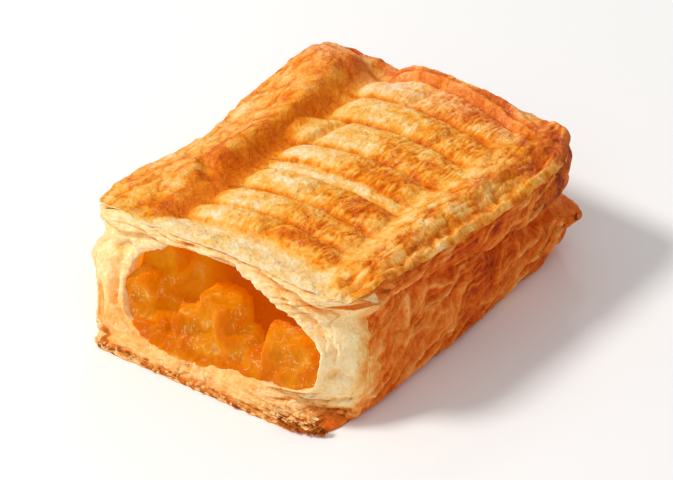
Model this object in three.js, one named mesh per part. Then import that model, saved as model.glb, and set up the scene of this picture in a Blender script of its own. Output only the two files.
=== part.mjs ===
// A rectangular puff-pastry apple pie with one end broken off, in millimetres, +Z up.
// The origin is the middle of the base. X runs along the slats of the lid, and -Y faces the broken end.
// The pie is two solids: the pastry crust, which is one baked shell around a hollow that opens at the
// broken end, and the apple filling, which lies in that hollow and runs to the sealed end.
import * as THREE from "three";

// Overall sizes.
const WIDTH = 80;
const LENGTH = 110;
const LID_EDGE_HEIGHT = 31.5; // the lid's edge above the base
const HALF_WIDTH = WIDTH / 2;
const HALF_LENGTH = LENGTH / 2;
const FRONT_LEAN = 11; // how far the broken lid stands behind the broken base
// The plan corners' radii, and the share of the length they fade over.
const FRONT_CORNER = { left: 5, right: 11, fade: 0.2 };
const BACK_CORNER = { left: 12, right: 9, fade: 0.3 };
const BACK_BOW = 3; // the sealed end stands out in its middle

// The lid: a dome between puffed rims, with a panel of slats inside them.
const DOME_RISE = 2.6;
const LEFT_RIM = { at: -31.5, spread: 6.5, rise: 4.6 };
const RIGHT_RIM = { at: 32.5, spread: 5, rise: 3.4 };
const BACK_RIM = { at: 50.5, spread: 2.4, rise: 2.6, fall: 2.2 };
const RIM_START = { from: -50, to: -30, least: 0.45 }; // the rims are low where the lid is torn
const BLISTERS = { rise: 0.9, pitch: 27, rightShare: 0.6 }; // long swells, weaker on the right rim
const TORN_FALL = { drop: 2.6, from: -44, to: -28 }; // the torn lid falls towards its right end
const EDGE_ROLL = 0.9;
const EDGE_DROP = 1.2; // the walls end this far below the lid's base surface
const SLAT_COUNT = 7;
const PANEL = { left: -22, right: 26, front: -37, back: 47, sink: 1.2, margin: 2 };
const SLAT_RISE = 3.4;
const SLAT_FULLNESS = 0.55; // below 1 gives the slats broad backs and narrow grooves
const SLAT_BOW = 1.6; // the slats bow towards the back in their middle
const SLAT_PITCH = (PANEL.back - PANEL.front) / SLAT_COUNT;
const SLAT_END = 5; // length over which a slat rises at its two ends

// The walls: the lid's edge hangs over them, they draw in at the waist and tuck in at the base.
// Their places are shares of the wall's height, except the depths of WAIST.deepens and NEAR_BREAK.
const BASE_TUCK = { depth: 1.8, to: 0.1 };
const LID_OVERHANG = { reach: 1.6, from: 0.78, to: 0.9 };
const WAIST = { at: 0.56, spread: 0.1, depth: 1.1, backDepth: 3.2, deepens: { from: -10, to: 48 } };
const FOLD = { at: 0.34, spread: 0.12, rise: 0.9 };
const WALL_WAVE = { rise: 0.7, alongScale: 1.6, upScale: 60, sideShift: 17 };
const UPPER_WALL = { from: 0.5, to: 0.85 };
const NEAR_BREAK = { from: -45, to: 5 };
const LEFT_SWAY = { reach: 1.8, pitch: 62, crest: -33 }; // the left rim stands out and in along its length
const RIGHT_TAPER = 2.4; // the right rim draws in towards the broken end
const LEFT_TAPER = 1.8; // and so does the left wall under its rim
// The base sheet's raised back right corner.
const CORNER_FLARE = { out: 2.6, lift: 5, reach: 13, from: 0.05, to: 0.42, baseFrom: 0.8 };
const BACK_FACE = { waist: 1.6, wave: 0.4, across: 1.4, up: 3, shift: 30, squareness: 8 };

// The hollow inside the crust: a narrower mouth at the broken end, widening to the full hollow.
const MOUTH = { left: -28, right: 31, roof: 31.6, floorLeft: 5.8, floorRight: 9.5 };
const MOUTH_DROP = { depth: 5.5, reach: 37.2 }; // the mouth's roof sags towards the right
const HOLLOW = { left: -33, right: 34, floor: 4.6, roofThickness: 5.2, end: 43, capDepth: 2 };
const HOLLOW_MIDDLE = { x: 0, z: 16 };
const HOLLOW_SETTLE = 22; // depth over which the mouth widens
const ROOF_ARCH = 2.4; // exponent of the outline above its middle: 2 is an ellipse, more is squarer
const FLOOR_ARCH = 5;
const MOUTH_RAGGED = 0.8; // unevenness of the broken face, and how closely it repeats
const RAGGED_SCALE = 4;
const RAGGED_SHIFT = 50; // gives each row of the broken face its own unevenness
const LIP_BULGE = 0.7;
const LIP_SETBACK = 0.8;

// The filling, with three apple chunks standing out of it at the mouth.
const FILLING_GAP = 0.8;
const FILLING_SETBACK = 2.6; // how far the filling stands behind the broken base
const FILLING_FRONT_HEIGHT = 14;
const FILLING_MIDDLE_SHARE = 0.6; // height of the middle of the filling's front, as a share of the front's
const FILLING_MEETS_ROOF = -12; // where the filling has risen to the roof
const CHUNK_SPREAD = 7.5;
const CHUNKS = [
  { x: -18, y: -45, rise: 5, out: 1.2 },
  { x: -2, y: -43, rise: 8, out: 1.8 },
  { x: 19, y: -45, rise: 6.5, out: 1.2 },
];

// How finely the skins are divided.
const BOTTOM_STEPS = 14;
const WALL_STEPS = 11;
const WALL_CROWDING = 0.08; // draws the steps together at the base and at the lid's edge
const TOP_STEPS = 36;
const AROUND = BOTTOM_STEPS + 2 * WALL_STEPS + TOP_STEPS;
const BACK_ROWS = 5;
const SLAT_ROWS = [0, 0.1, 0.32, 0.62, 0.9]; // places within one slat's pitch that get a row
const FRONT_ZONE_ROWS = 4;
const BACK_ZONE_ROWS = 4;
const BACK_ROUND = 1.6; // how far the last full row stands in front of the sealed face
const LIP_ROWS = 2;
const HOLLOW_ROWS = 8;
const HOLLOW_CROWDING = 1.3; // above 1 draws the rows together at the mouth
const HOLLOW_CAP_SHARES = [0.5, 0];
const FILLING_AROUND = 36;
const FILLING_BODY_ROWS = 14;
const FILLING_CROWDING = 1.2;
const FILLING_CAP_SHARES = [0, 0.45, 0.82];

// The sines of the slow unevenness: each one's share, its turn over a millimetre two ways, and its start.
const WAVES = [
  { share: 0.5, a: 0.071, b: 0.043, turn: 1.3 },
  { share: 0.3, a: 0.163, b: -0.121, turn: 4.1 },
  { share: 0.2, a: 0.287, b: 0.239, turn: 2.2 },
];

const clamp = THREE.MathUtils.clamp;
const lerp = THREE.MathUtils.lerp;
const smoothstep = THREE.MathUtils.smoothstep;

/** A soft bump of height 1 that fades over the spread. */
function bump(value, centre, spread) {
  const offset = (value - centre) / spread;
  return Math.exp(-offset * offset);
}

/** A slow uneven wave between -1 and 1, made of sines that don't repeat together. */
function unevenness(a, b) {
  return WAVES.reduce((sum, wave) => sum + wave.share * Math.sin(a * wave.a + b * wave.b + wave.turn), 0);
}

/** Height of one slat's rounded back above the panel, or 0 outside the panel. */
function slatHeight(x, y) {
  const along = clamp((x - PANEL.left) / (PANEL.right - PANEL.left), 0, 1);
  const bow = SLAT_BOW * 4 * along * (1 - along);
  const place = (y - bow - PANEL.front) / SLAT_PITCH;
  if (place <= 0 || place >= SLAT_COUNT) return 0;
  const within = place - Math.floor(place);
  const across = Math.pow(Math.sin(Math.PI * within), SLAT_FULLNESS);
  const ends =
    smoothstep(x, PANEL.left, PANEL.left + SLAT_END) *
    (1 - smoothstep(x, PANEL.right - SLAT_END, PANEL.right));
  return SLAT_RISE * across * ends;
}

/** 1 inside the slatted panel and 0 on the rims. */
function panelShare(x, y) {
  return (
    smoothstep(x, PANEL.left - PANEL.margin, PANEL.left + SLAT_END) *
    (1 - smoothstep(x, PANEL.right - SLAT_END, PANEL.right + PANEL.margin)) *
    smoothstep(y, PANEL.front - PANEL.margin, PANEL.front + PANEL.margin) *
    (1 - smoothstep(y, PANEL.back - PANEL.margin, PANEL.back + PANEL.margin))
  );
}

/** Height of the lid without its slats: the dome, the puffed rims and the slow unevenness of baked dough. */
function lidBase(x, y) {
  const dome = DOME_RISE * (1 - (x / HALF_WIDTH) ** 2);
  const swell = BLISTERS.rise * Math.sin((2 * Math.PI * y) / BLISTERS.pitch);
  const started = lerp(RIM_START.least, 1, smoothstep(y, RIM_START.from, RIM_START.to));
  const leftRim = started * (LEFT_RIM.rise + swell) * bump(x, LEFT_RIM.at, LEFT_RIM.spread);
  const rightRise = RIGHT_RIM.rise - BLISTERS.rightShare * swell;
  const rightRim = started * rightRise * bump(x, RIGHT_RIM.at, RIGHT_RIM.spread);
  const backRim = BACK_RIM.rise * bump(y, BACK_RIM.at, BACK_RIM.spread);
  const backFall = BACK_RIM.fall * smoothstep(y, BACK_RIM.at, HALF_LENGTH);
  const torn = 1 - smoothstep(y, TORN_FALL.from, TORN_FALL.to);
  const tornFall = TORN_FALL.drop * torn * smoothstep(x, 0, HALF_WIDTH);
  const rims = Math.max(leftRim, rightRim, backRim);
  return LID_EDGE_HEIGHT + dome + rims - backFall - tornFall + WALL_WAVE.rise * unevenness(x, y);
}

/** Height of the lid's upper face. */
function lidHeight(x, y) {
  return lidBase(x, y) + slatHeight(x, y) - PANEL.sink * panelShare(x, y);
}

/** How near a place on the wall is to the raised back right corner, from 0 to 1. */
function cornerShare(side, y, share) {
  if (side < 0) return 0;
  const near = smoothstep(y, HALF_LENGTH - CORNER_FLARE.reach, HALF_LENGTH);
  return near * near * (1 - smoothstep(share, CORNER_FLARE.from, CORNER_FLARE.to));
}

/** Half width of the crust at a height share of 0 at the base to 1 at the lid's edge. */
function wallReach(side, y, share) {
  const tuck = BASE_TUCK.depth * (1 - smoothstep(share, 0, BASE_TUCK.to));
  const towardsBack = smoothstep(y, WAIST.deepens.from, WAIST.deepens.to);
  const waist = (WAIST.depth + WAIST.backDepth * towardsBack) * bump(share, WAIST.at, WAIST.spread);
  const fold = FOLD.rise * bump(share, FOLD.at, FOLD.spread);
  const uneven = unevenness(y * WALL_WAVE.alongScale, share * WALL_WAVE.upScale + side * WALL_WAVE.sideShift);
  const wave = WALL_WAVE.rise * uneven;
  const flare = CORNER_FLARE.out * cornerShare(side, y, share);
  const overhang = LID_OVERHANG.reach * smoothstep(share, LID_OVERHANG.from, LID_OVERHANG.to);
  const turn = (2 * Math.PI * (y - LEFT_SWAY.crest)) / LEFT_SWAY.pitch;
  const nearBreak = 1 - smoothstep(y, NEAR_BREAK.from, NEAR_BREAK.to);
  const upper = smoothstep(share, UPPER_WALL.from, UPPER_WALL.to);
  const leftSway = LEFT_SWAY.reach * Math.cos(turn) * upper - LEFT_TAPER * nearBreak * (1 - upper);
  const sway = side < 0 ? leftSway : -RIGHT_TAPER * nearBreak * upper;
  return HALF_WIDTH - LID_OVERHANG.reach - tuck - waist + fold + wave + flare + overhang + sway;
}

/** Height of a wall point, whose lower edge lifts at the raised corner. */
function wallHeight(side, y, share) {
  const edge = lidBase(side * HALF_WIDTH, y) - EDGE_DROP;
  return share * edge + CORNER_FLARE.lift * cornerShare(side, y, share);
}

/** The share of the wall's height at one step up it, closer together at the base and at the lid's edge. */
function wallShare(step) {
  const even = step / WALL_STEPS;
  return even - WALL_CROWDING * Math.sin(2 * Math.PI * even);
}

/** How far a rounded plan corner draws an end of the pie in, at x, where the walls stand at the reach. */
function cornerDraw(x, reach, corner) {
  const radius = x < 0 ? corner.left : corner.right;
  const past = clamp((Math.abs(x) - (reach - radius)) / radius, 0, 1);
  return radius * (1 - Math.sqrt(1 - past * past));
}

/** The y of a place along the crust, between its leaning broken end and its sealed end. */
function depthAt(x, share, reach, along) {
  const start = -HALF_LENGTH + FRONT_LEAN * share;
  const fromFront = cornerDraw(x, reach, FRONT_CORNER) * (1 - smoothstep(along, 0, FRONT_CORNER.fade));
  const bow = BACK_BOW * (x / HALF_WIDTH) ** 2;
  const fromBack = (cornerDraw(x, reach, BACK_CORNER) + bow) * smoothstep(along, 1 - BACK_CORNER.fade, 1);
  return lerp(start, HALF_LENGTH - BACK_ROUND, along) + fromFront - fromBack;
}

/**
 * One point of the outer skin.
 * @param {number} step  place around the section, from 0 to AROUND, starting at the left end of the base
 * @param {number} along  0 at the broken end to 1 at the sealed end
 */
function outerPoint(step, along) {
  const rightEnd = BOTTOM_STEPS + WALL_STEPS;
  const topEnd = rightEnd + TOP_STEPS;
  if (step <= BOTTOM_STEPS) {
    const middle = depthAt(0, 0, HALF_WIDTH, along);
    const left = wallReach(-1, middle, 0);
    const right = wallReach(1, middle, 0);
    const share = 0.5 - 0.5 * Math.cos((Math.PI * step) / BOTTOM_STEPS);
    const x = lerp(-left, right, share);
    const lift = wallHeight(1, middle, 0) * smoothstep(share, CORNER_FLARE.baseFrom, 1);
    return new THREE.Vector3(x, depthAt(x, 0, x < 0 ? left : right, along), lift);
  }
  if (step <= rightEnd || step >= topEnd) {
    const side = step <= rightEnd ? 1 : -1;
    const share = wallShare(side > 0 ? step - BOTTOM_STEPS : AROUND - step);
    const middle = depthAt(0, share, HALF_WIDTH, along);
    const reach = wallReach(side, middle, share);
    const y = depthAt(side * reach, share, reach, along);
    return new THREE.Vector3(side * reach, y, wallHeight(side, middle, share));
  }
  const middle = depthAt(0, 1, HALF_WIDTH, along);
  const share = (step - rightEnd) / TOP_STEPS;
  const right = wallReach(1, middle, 1);
  const left = wallReach(-1, middle, 1);
  const x = lerp(right, -left, share);
  const y = depthAt(x, 1, x < 0 ? left : right, along);
  const nearEdge = clamp(1 - Math.min(share, 1 - share) * TOP_STEPS, 0, 1);
  return new THREE.Vector3(x, y, lidHeight(x, y) - EDGE_ROLL * nearEdge);
}

/** How far the hollow has widened from its mouth at some depth, from 0 to 1. */
function widened(y) {
  const mouthTop = -HALF_LENGTH + FRONT_LEAN;
  return smoothstep(y, mouthTop, mouthTop + HOLLOW_SETTLE);
}

/** Height of the hollow's roof, which sags towards the right at the mouth and follows the lid inside. */
function roofHeight(x, y) {
  const mouthRoof = MOUTH.roof - MOUTH_DROP.depth * smoothstep(x, 0, MOUTH_DROP.reach);
  const insideRoof = LID_EDGE_HEIGHT + DOME_RISE * (1 - (x / HALF_WIDTH) ** 2) - HOLLOW.roofThickness;
  return lerp(mouthRoof, insideRoof, widened(y));
}

/** Height of the hollow's floor, which is thicker towards the right at the mouth. */
function floorHeight(x, y) {
  const share = clamp((x - MOUTH.left) / (MOUTH.right - MOUTH.left), 0, 1);
  return lerp(lerp(MOUTH.floorLeft, MOUTH.floorRight, share), HOLLOW.floor, widened(y));
}

/**
 * One point of the hollow's outline, a rounded arch over a squarer floor.
 * @param {number} angle  direction from the middle of the hollow, 0 towards +X and a quarter turn upwards
 * @param {number} y  depth
 * @param {number} inset  how far inside the outline the point lies
 * @param {function} ceiling  gives the height that the point doesn't pass, from its x
 */
function hollowPoint(angle, y, inset = 0, ceiling = () => Infinity) {
  const cos = Math.cos(angle);
  const sin = Math.sin(angle);
  const left = lerp(MOUTH.left, HOLLOW.left, widened(y));
  const right = lerp(MOUTH.right, HOLLOW.right, widened(y));
  const reach = (cos < 0 ? HOLLOW_MIDDLE.x - left : right - HOLLOW_MIDDLE.x) - inset;
  const roughX = HOLLOW_MIDDLE.x + reach * cos;
  const height =
    sin < 0
      ? HOLLOW_MIDDLE.z - floorHeight(roughX, y) - inset
      : roofHeight(roughX, y) - HOLLOW_MIDDLE.z - inset;
  const arch = sin < 0 ? FLOOR_ARCH : ROOF_ARCH;
  const radius = (Math.abs(cos / reach) ** arch + Math.abs(sin / height) ** arch) ** (-1 / arch);
  const x = HOLLOW_MIDDLE.x + radius * cos;
  return new THREE.Vector3(x, y, Math.min(HOLLOW_MIDDLE.z + radius * sin, ceiling(x)));
}

/** The y at which the broken end passes a given height. */
function brokenFront(z) {
  return -HALF_LENGTH + FRONT_LEAN * clamp(z / LID_EDGE_HEIGHT, 0, 1);
}

/** Places along the crust that get a row, from 0 at the broken end to 1 at the sealed end. */
function rowsAlong() {
  const start = -HALF_LENGTH + FRONT_LEAN;
  const end = HALF_LENGTH - BACK_ROUND;
  const places = [];
  for (let i = 0; i < FRONT_ZONE_ROWS; i++) places.push(lerp(start, PANEL.front, i / FRONT_ZONE_ROWS));
  for (let slat = 0; slat < SLAT_COUNT; slat++)
    for (const share of SLAT_ROWS) places.push(PANEL.front + (slat + share) * SLAT_PITCH);
  for (let i = 0; i < BACK_ZONE_ROWS; i++) places.push(lerp(PANEL.back, end, i / (BACK_ZONE_ROWS - 1)));
  return places.map((y) => (y - start) / (end - start));
}

/** A point of the sealed back face, which bulges out round a waist, on a ring shrunk from the edge. */
function backPoint(edge, share) {
  const x = edge.x * share;
  const z = lerp(0.5 * LID_EDGE_HEIGHT, edge.z, share);
  const waist = BACK_FACE.waist * bump(z / LID_EDGE_HEIGHT, WAIST.at, WAIST.spread);
  const wave = BACK_FACE.wave * unevenness(x * BACK_FACE.across + BACK_FACE.shift, z * BACK_FACE.up);
  const face = HALF_LENGTH - waist + wave;
  return new THREE.Vector3(x, lerp(edge.y, face, Math.sqrt(1 - share ** BACK_FACE.squareness)), z);
}

/** The rows of the whole crust skin, from the middle of the back face to the far end of the hollow. */
function crustRows() {
  const along = rowsAlong().reverse();
  const rows = [];
  for (let i = 0; i < BACK_ROWS; i++) {
    const share = Math.sin((0.5 * Math.PI * i) / BACK_ROWS);
    rows.push((step) => backPoint(outerPoint(step, along[0]), share));
  }
  for (const place of along) rows.push((step) => outerPoint(step, place));
  const angleOf = (step) => {
    const edge = outerPoint(step, 0);
    return Math.atan2(edge.z - HOLLOW_MIDDLE.z, edge.x - HOLLOW_MIDDLE.x);
  };
  const mouthPoint = (step) => {
    const flat = hollowPoint(angleOf(step), -HALF_LENGTH);
    const ragged = MOUTH_RAGGED * unevenness(RAGGED_SCALE * flat.x, RAGGED_SCALE * flat.z);
    return flat.setY(brokenFront(flat.z) + LIP_SETBACK + ragged);
  };
  for (let i = 1; i <= LIP_ROWS; i++)
    rows.push((step) => {
      const share = i / (LIP_ROWS + 1);
      const point = outerPoint(step, 0).lerp(mouthPoint(step), share);
      const uneven = unevenness(RAGGED_SCALE * point.x + RAGGED_SHIFT * i, RAGGED_SCALE * point.z);
      point.y -= LIP_BULGE * Math.sin(Math.PI * share) + MOUTH_RAGGED * uneven;
      return point;
    });
  for (let i = 0; i < HOLLOW_ROWS; i++)
    rows.push((step) => {
      const share = (i / (HOLLOW_ROWS - 1)) ** HOLLOW_CROWDING;
      return hollowPoint(angleOf(step), lerp(mouthPoint(step).y, HOLLOW.end - HOLLOW.capDepth, share));
    });
  const middle = new THREE.Vector3(HOLLOW_MIDDLE.x, HOLLOW.end, HOLLOW_MIDDLE.z);
  for (const share of HOLLOW_CAP_SHARES)
    rows.push((step) => middle.clone().lerp(hollowPoint(angleOf(step), HOLLOW.end), share));
  return rows;
}

/** How much the chunks stand out at a place, weighted by one of their sizes. */
function chunkShare(x, y, size) {
  return CHUNKS.reduce(
    (sum, chunk) => sum + chunk[size] * bump(x, chunk.x, CHUNK_SPREAD) * bump(y, chunk.y, CHUNK_SPREAD),
    0,
  );
}

/** Highest place of the filling: low with chunks at the mouth, and up to the roof further in. */
function fillingTop(x, y) {
  const rise = smoothstep(y, -HALF_LENGTH + FRONT_LEAN, FILLING_MEETS_ROOF);
  return lerp(FILLING_FRONT_HEIGHT + chunkShare(x, y, "rise"), roofHeight(x, y) + FILLING_GAP, rise);
}

/** The rows of the filling's skin, from its lumpy front to the far end of the hollow. */
function fillingRows() {
  const backEnd = HOLLOW.end - HOLLOW.capDepth - FILLING_GAP;
  const skin = (step, along) => {
    const angle = (2 * Math.PI * step) / FILLING_AROUND;
    const front = hollowPoint(angle, -HALF_LENGTH, FILLING_GAP, () => FILLING_FRONT_HEIGHT);
    const y = lerp(brokenFront(front.z) + FILLING_SETBACK, backEnd, along);
    return hollowPoint(angle, y, FILLING_GAP, (x) => fillingTop(x, y));
  };
  const frontMiddle = new THREE.Vector3(HOLLOW_MIDDLE.x, 0, FILLING_MIDDLE_SHARE * FILLING_FRONT_HEIGHT);
  const backMiddle = new THREE.Vector3(HOLLOW_MIDDLE.x, backEnd, HOLLOW_MIDDLE.z);
  const rows = FILLING_CAP_SHARES.map((share) => (step) => {
    const edge = skin(step, 0);
    const point = frontMiddle.clone().lerp(edge, share);
    const out = chunkShare(point.x, CHUNKS[0].y, "out") * (1 - share);
    return point.setY(edge.y * share + (brokenFront(frontMiddle.z) + FILLING_SETBACK) * (1 - share) - out);
  });
  for (let i = 0; i <= FILLING_BODY_ROWS; i++)
    rows.push((step) => skin(step, (i / FILLING_BODY_ROWS) ** FILLING_CROWDING));
  rows.push(() => backMiddle);
  return rows;
}

/** Bends a sphere's grid of points over the rows of a skin, whose first and last rows are single points. */
function skinGeometry(around, rows, point) {
  const geometry = new THREE.SphereGeometry(1, around, rows.length - 1);
  const position = geometry.getAttribute("position");
  const lastRow = rows.length - 1;
  for (let i = 0; i < position.count; i++) {
    const row = Math.floor(i / (around + 1));
    const step = row === 0 || row === lastRow ? 0 : (i % (around + 1)) % around;
    const place = point(rows[row], step);
    position.setXYZ(i, place.x, place.y, place.z);
  }
  geometry.computeVertexNormals();
  return geometry;
}

/** The baked crust. Its rows are followed the other way round, so that its faces point out. */
function crust() {
  const geometry = skinGeometry(AROUND, crustRows(), (row, step) => row(AROUND - step));
  const material = new THREE.MeshStandardMaterial({ color: 0xe0983a, roughness: 0.55, metalness: 0 });
  const mesh = new THREE.Mesh(geometry, material);
  mesh.name = "crust";
  return mesh;
}

/** The apple filling. */
function filling() {
  const geometry = skinGeometry(FILLING_AROUND, fillingRows(), (row, step) => row(step));
  const material = new THREE.MeshStandardMaterial({ color: 0xe8851a, roughness: 0.25, metalness: 0 });
  const mesh = new THREE.Mesh(geometry, material);
  mesh.name = "filling";
  return mesh;
}

/** Moves a model so that the middle of its box's base is the origin. */
function standAtOrigin(model) {
  const box = new THREE.Box3().setFromObject(model);
  model.position.set(-(box.min.x + box.max.x) / 2, -(box.min.y + box.max.y) / 2, -box.min.z);
  return model;
}

const pie = new THREE.Group();
pie.add(crust(), filling());
standAtOrigin(pie);

export default pie;
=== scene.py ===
"""A rectangular puff-pastry apple pie with a slatted lid, broken open at one end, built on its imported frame.

Lengths inside the shape functions are millimetres, and a piece's mesh is laid in metres. X runs along the
slats, -Y faces the broken end and Z is up, as in the frame.
"""

import itertools
import logging
import math
from dataclasses import dataclass, field
from enum import Enum
from typing import Any, Callable, Sequence

import bpy
import numpy as np
from mathutils import Matrix, Vector


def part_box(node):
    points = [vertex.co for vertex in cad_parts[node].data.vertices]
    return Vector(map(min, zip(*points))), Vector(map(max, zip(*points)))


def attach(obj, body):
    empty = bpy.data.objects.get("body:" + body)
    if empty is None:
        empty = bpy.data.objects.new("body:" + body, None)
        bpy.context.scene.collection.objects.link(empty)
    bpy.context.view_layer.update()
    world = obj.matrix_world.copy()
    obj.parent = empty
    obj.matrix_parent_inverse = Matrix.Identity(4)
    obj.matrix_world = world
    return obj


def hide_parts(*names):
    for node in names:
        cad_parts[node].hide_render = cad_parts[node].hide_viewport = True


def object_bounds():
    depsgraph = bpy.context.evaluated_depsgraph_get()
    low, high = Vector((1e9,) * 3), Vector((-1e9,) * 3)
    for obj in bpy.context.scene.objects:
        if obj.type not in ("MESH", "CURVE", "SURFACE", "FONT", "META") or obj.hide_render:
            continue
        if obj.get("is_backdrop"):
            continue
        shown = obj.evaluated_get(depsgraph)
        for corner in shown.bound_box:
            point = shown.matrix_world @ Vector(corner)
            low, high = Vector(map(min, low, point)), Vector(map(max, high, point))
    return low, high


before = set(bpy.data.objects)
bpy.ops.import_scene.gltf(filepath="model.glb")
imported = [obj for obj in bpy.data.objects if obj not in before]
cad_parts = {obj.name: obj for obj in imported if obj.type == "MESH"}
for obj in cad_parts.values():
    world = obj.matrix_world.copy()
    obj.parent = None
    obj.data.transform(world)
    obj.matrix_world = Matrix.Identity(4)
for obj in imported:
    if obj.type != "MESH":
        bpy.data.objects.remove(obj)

log = logging.getLogger("apple_pie")

MM = 0.001
BODY = "root"
SEED = 41
CREASE_ANGLE = math.radians(40)
OUT_OF_REACH = 9.0  # in cell or chunk sizes, more than any distance that is looked for
TINY = 1e-9

Array = np.ndarray
Piece = bpy.types.Object
Material = bpy.types.Material
Colour = tuple[float, float, float]
Place = tuple[float, float, float]
Stops = tuple[tuple[float, Colour], ...]


class Slot(Enum):
    """The record's material slots."""

    PASTRY = "baked_pastry"
    FILLING = "apple_filling"


class Finishing(Enum):
    """How a piece's faces meet."""

    SMOOTH = "smooth"
    CREASED = "creased"


class Pattern(Enum):
    """The kinds of noise that materials use."""

    CLOUDS = "FBM"
    RIDGES = "RIDGED_MULTIFRACTAL"


# ---------------- small curves and noise


def smooth(value: Array, low: float, high: float) -> Array:
    """A soft step from 0 at low to 1 at high."""
    share = np.clip((value - low) / (high - low), 0.0, 1.0)
    return share * share * (3 - 2 * share)


def clamp(value: Array) -> Array:
    """A value held between 0 and 1."""
    return np.clip(value, 0, 1)


def fade(value: Array, low: float, high: float) -> Array:
    """A soft step from 1 at low to 0 at high."""
    return 1 - smooth(value, low, high)


def bump(value: Array, centre: float, spread: float) -> Array:
    """A soft bump of height 1 that fades over the spread."""
    return np.exp(-(((value - centre) / spread) ** 2))


def lerp(start: Any, end: Any, share: Any) -> Any:
    """The mix of two values."""
    return start + (end - start) * share


def stack(*parts: Any) -> Array:
    """Points from their x, y and z, which may be numbers or arrays."""
    return np.stack(np.broadcast_arrays(*[np.asarray(p, float) for p in parts]), axis=-1)


def directions(vectors: Array) -> Array:
    """The unit vectors along some vectors."""
    return vectors / np.maximum(np.linalg.norm(vectors, axis=-1, keepdims=True), TINY)


class Noise:
    """Smooth gradient noise and rounded cells in three dimensions, the same each run."""

    SIZE = 256
    GAIN = 1.7

    def __init__(self, seed: int) -> None:
        """Draws the lattice from a seed."""
        chance = np.random.default_rng(seed)
        self.order = np.tile(chance.permutation(self.SIZE), 2)
        self.slopes = directions(chance.normal(size=(self.SIZE, 3)))
        self.places = chance.random((self.SIZE, 3))

    def _pick(self, cell: Array) -> Array:
        """A lattice number for each cell."""
        wrapped = cell & (self.SIZE - 1)
        first = self.order[wrapped[..., 0]]
        second = self.order[first + wrapped[..., 1]]
        return self.order[second + wrapped[..., 2]]

    def at(self, points: Array, scale: float | Sequence[float] = 1.0) -> Array:
        """Gradient noise of about -1 to 1.

        Args:
            points: places, in millimetres.
            scale: size of one swell, in millimetres, or one for each axis.

        Returns:
            One value for each place.
        """
        scaled = points / np.asarray(scale, float)
        cell = np.floor(scaled).astype(np.int64)
        part = scaled - cell
        ease = part**3 * (part * (part * 6 - 15) + 10)
        total = np.zeros(points.shape[:-1])
        for corner in itertools.product((0, 1), repeat=3):
            slope = self.slopes[self._pick(cell + np.array(corner))]
            weight = np.prod(np.where(corner, ease, 1 - ease), axis=-1)
            total += weight * ((part - corner) * slope).sum(axis=-1)
        return self.GAIN * total

    def layered(self, points: Array, scale: float | Sequence[float], octaves: int = 3) -> Array:
        """Noise with finer and weaker noise added, of about -1 to 1."""
        size = np.asarray(scale, float)
        total = sum(0.5**k * self.at(points + 37.0 * k, size / 2**k) for k in range(octaves))
        return total / (2 - 0.5 ** (octaves - 1))

    def ridged(self, points: Array, scale: float | Sequence[float]) -> Array:
        """Thin ridges of height 1 between smooth hollows of 0."""
        return clamp(1 - 2.4 * np.abs(self.at(points, scale))) ** 2

    def cells(self, points: Array, scale: float | Sequence[float]) -> tuple[Array, Array, Array]:
        """Rounded cells round scattered middles.

        Args:
            points: places, in millimetres.
            scale: size of one cell, in millimetres, or one for each axis.

        Returns:
            Distances to the nearest and the next middle, in cell sizes, and the nearest one's own number.
        """
        scaled = points / np.asarray(scale, float)
        cell = np.floor(scaled).astype(np.int64)
        first = np.full(points.shape[:-1], OUT_OF_REACH)
        second = first.copy()
        own = np.zeros(points.shape[:-1])
        for shift in itertools.product((-1, 0, 1), repeat=3):
            near = cell + np.array(shift)
            pick = self._pick(near)
            far = np.linalg.norm(near + self.places[pick] - scaled, axis=-1)
            closer = far < first
            second = np.where(closer, first, np.minimum(second, far))
            own = np.where(closer, pick / self.SIZE, own)
            first = np.where(closer, far, first)
        return first, second, own


# ---------------- modelling


def deselect() -> None:
    """Leaves edit mode and selects nothing."""
    if bpy.context.object and bpy.context.object.mode != "OBJECT":
        bpy.ops.object.mode_set(mode="OBJECT")
    bpy.ops.object.select_all(action="DESELECT")


def hold(piece: Piece) -> None:
    """Selects one piece alone and makes it the active one."""
    deselect()
    piece.select_set(True)
    bpy.context.view_layer.objects.active = piece


def primitive(name: str, add: Callable[..., Any], **sizes: Any) -> Piece:
    """Adds a primitive mesh under a piece's name.

    Args:
        name: the piece's name.
        add: the operator that adds the mesh.
        **sizes: the operator's values.

    Returns:
        The new object.
    """
    deselect()
    add(**sizes)
    piece = bpy.context.object
    piece.name = piece.data.name = name
    return piece


def coordinates(piece: Piece) -> Array:
    """A piece's vertices as an array, in metres."""
    places = np.zeros(len(piece.data.vertices) * 3)
    piece.data.vertices.foreach_get("co", places)
    return places.reshape(-1, 3)


def lay(piece: Piece, points: Array) -> None:
    """Moves a piece's vertices to new places, given in millimetres."""
    piece.data.vertices.foreach_set("co", (points * MM).astype(np.float32).ravel())
    piece.data.update()


def paint(piece: Piece, name: str, values: Array) -> None:
    """Stores one number for each vertex under a name that materials read."""
    layer = piece.data.attributes.get(name) or piece.data.attributes.new(name, "FLOAT", "POINT")
    layer.data.foreach_set("value", clamp(values).astype(np.float32).ravel())


def apply_modifier(piece: Piece, kind: str, **settings: Any) -> None:
    """Adds a modifier to a piece and applies it.

    Args:
        piece: the mesh to finish.
        kind: the modifier's type, such as SUBSURF.
        **settings: its values.
    """
    hold(piece)
    modifier = piece.modifiers.new(kind.title(), kind)
    for name, value in settings.items():
        setattr(modifier, name, value)
    bpy.ops.object.modifier_apply(modifier=modifier.name)


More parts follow.
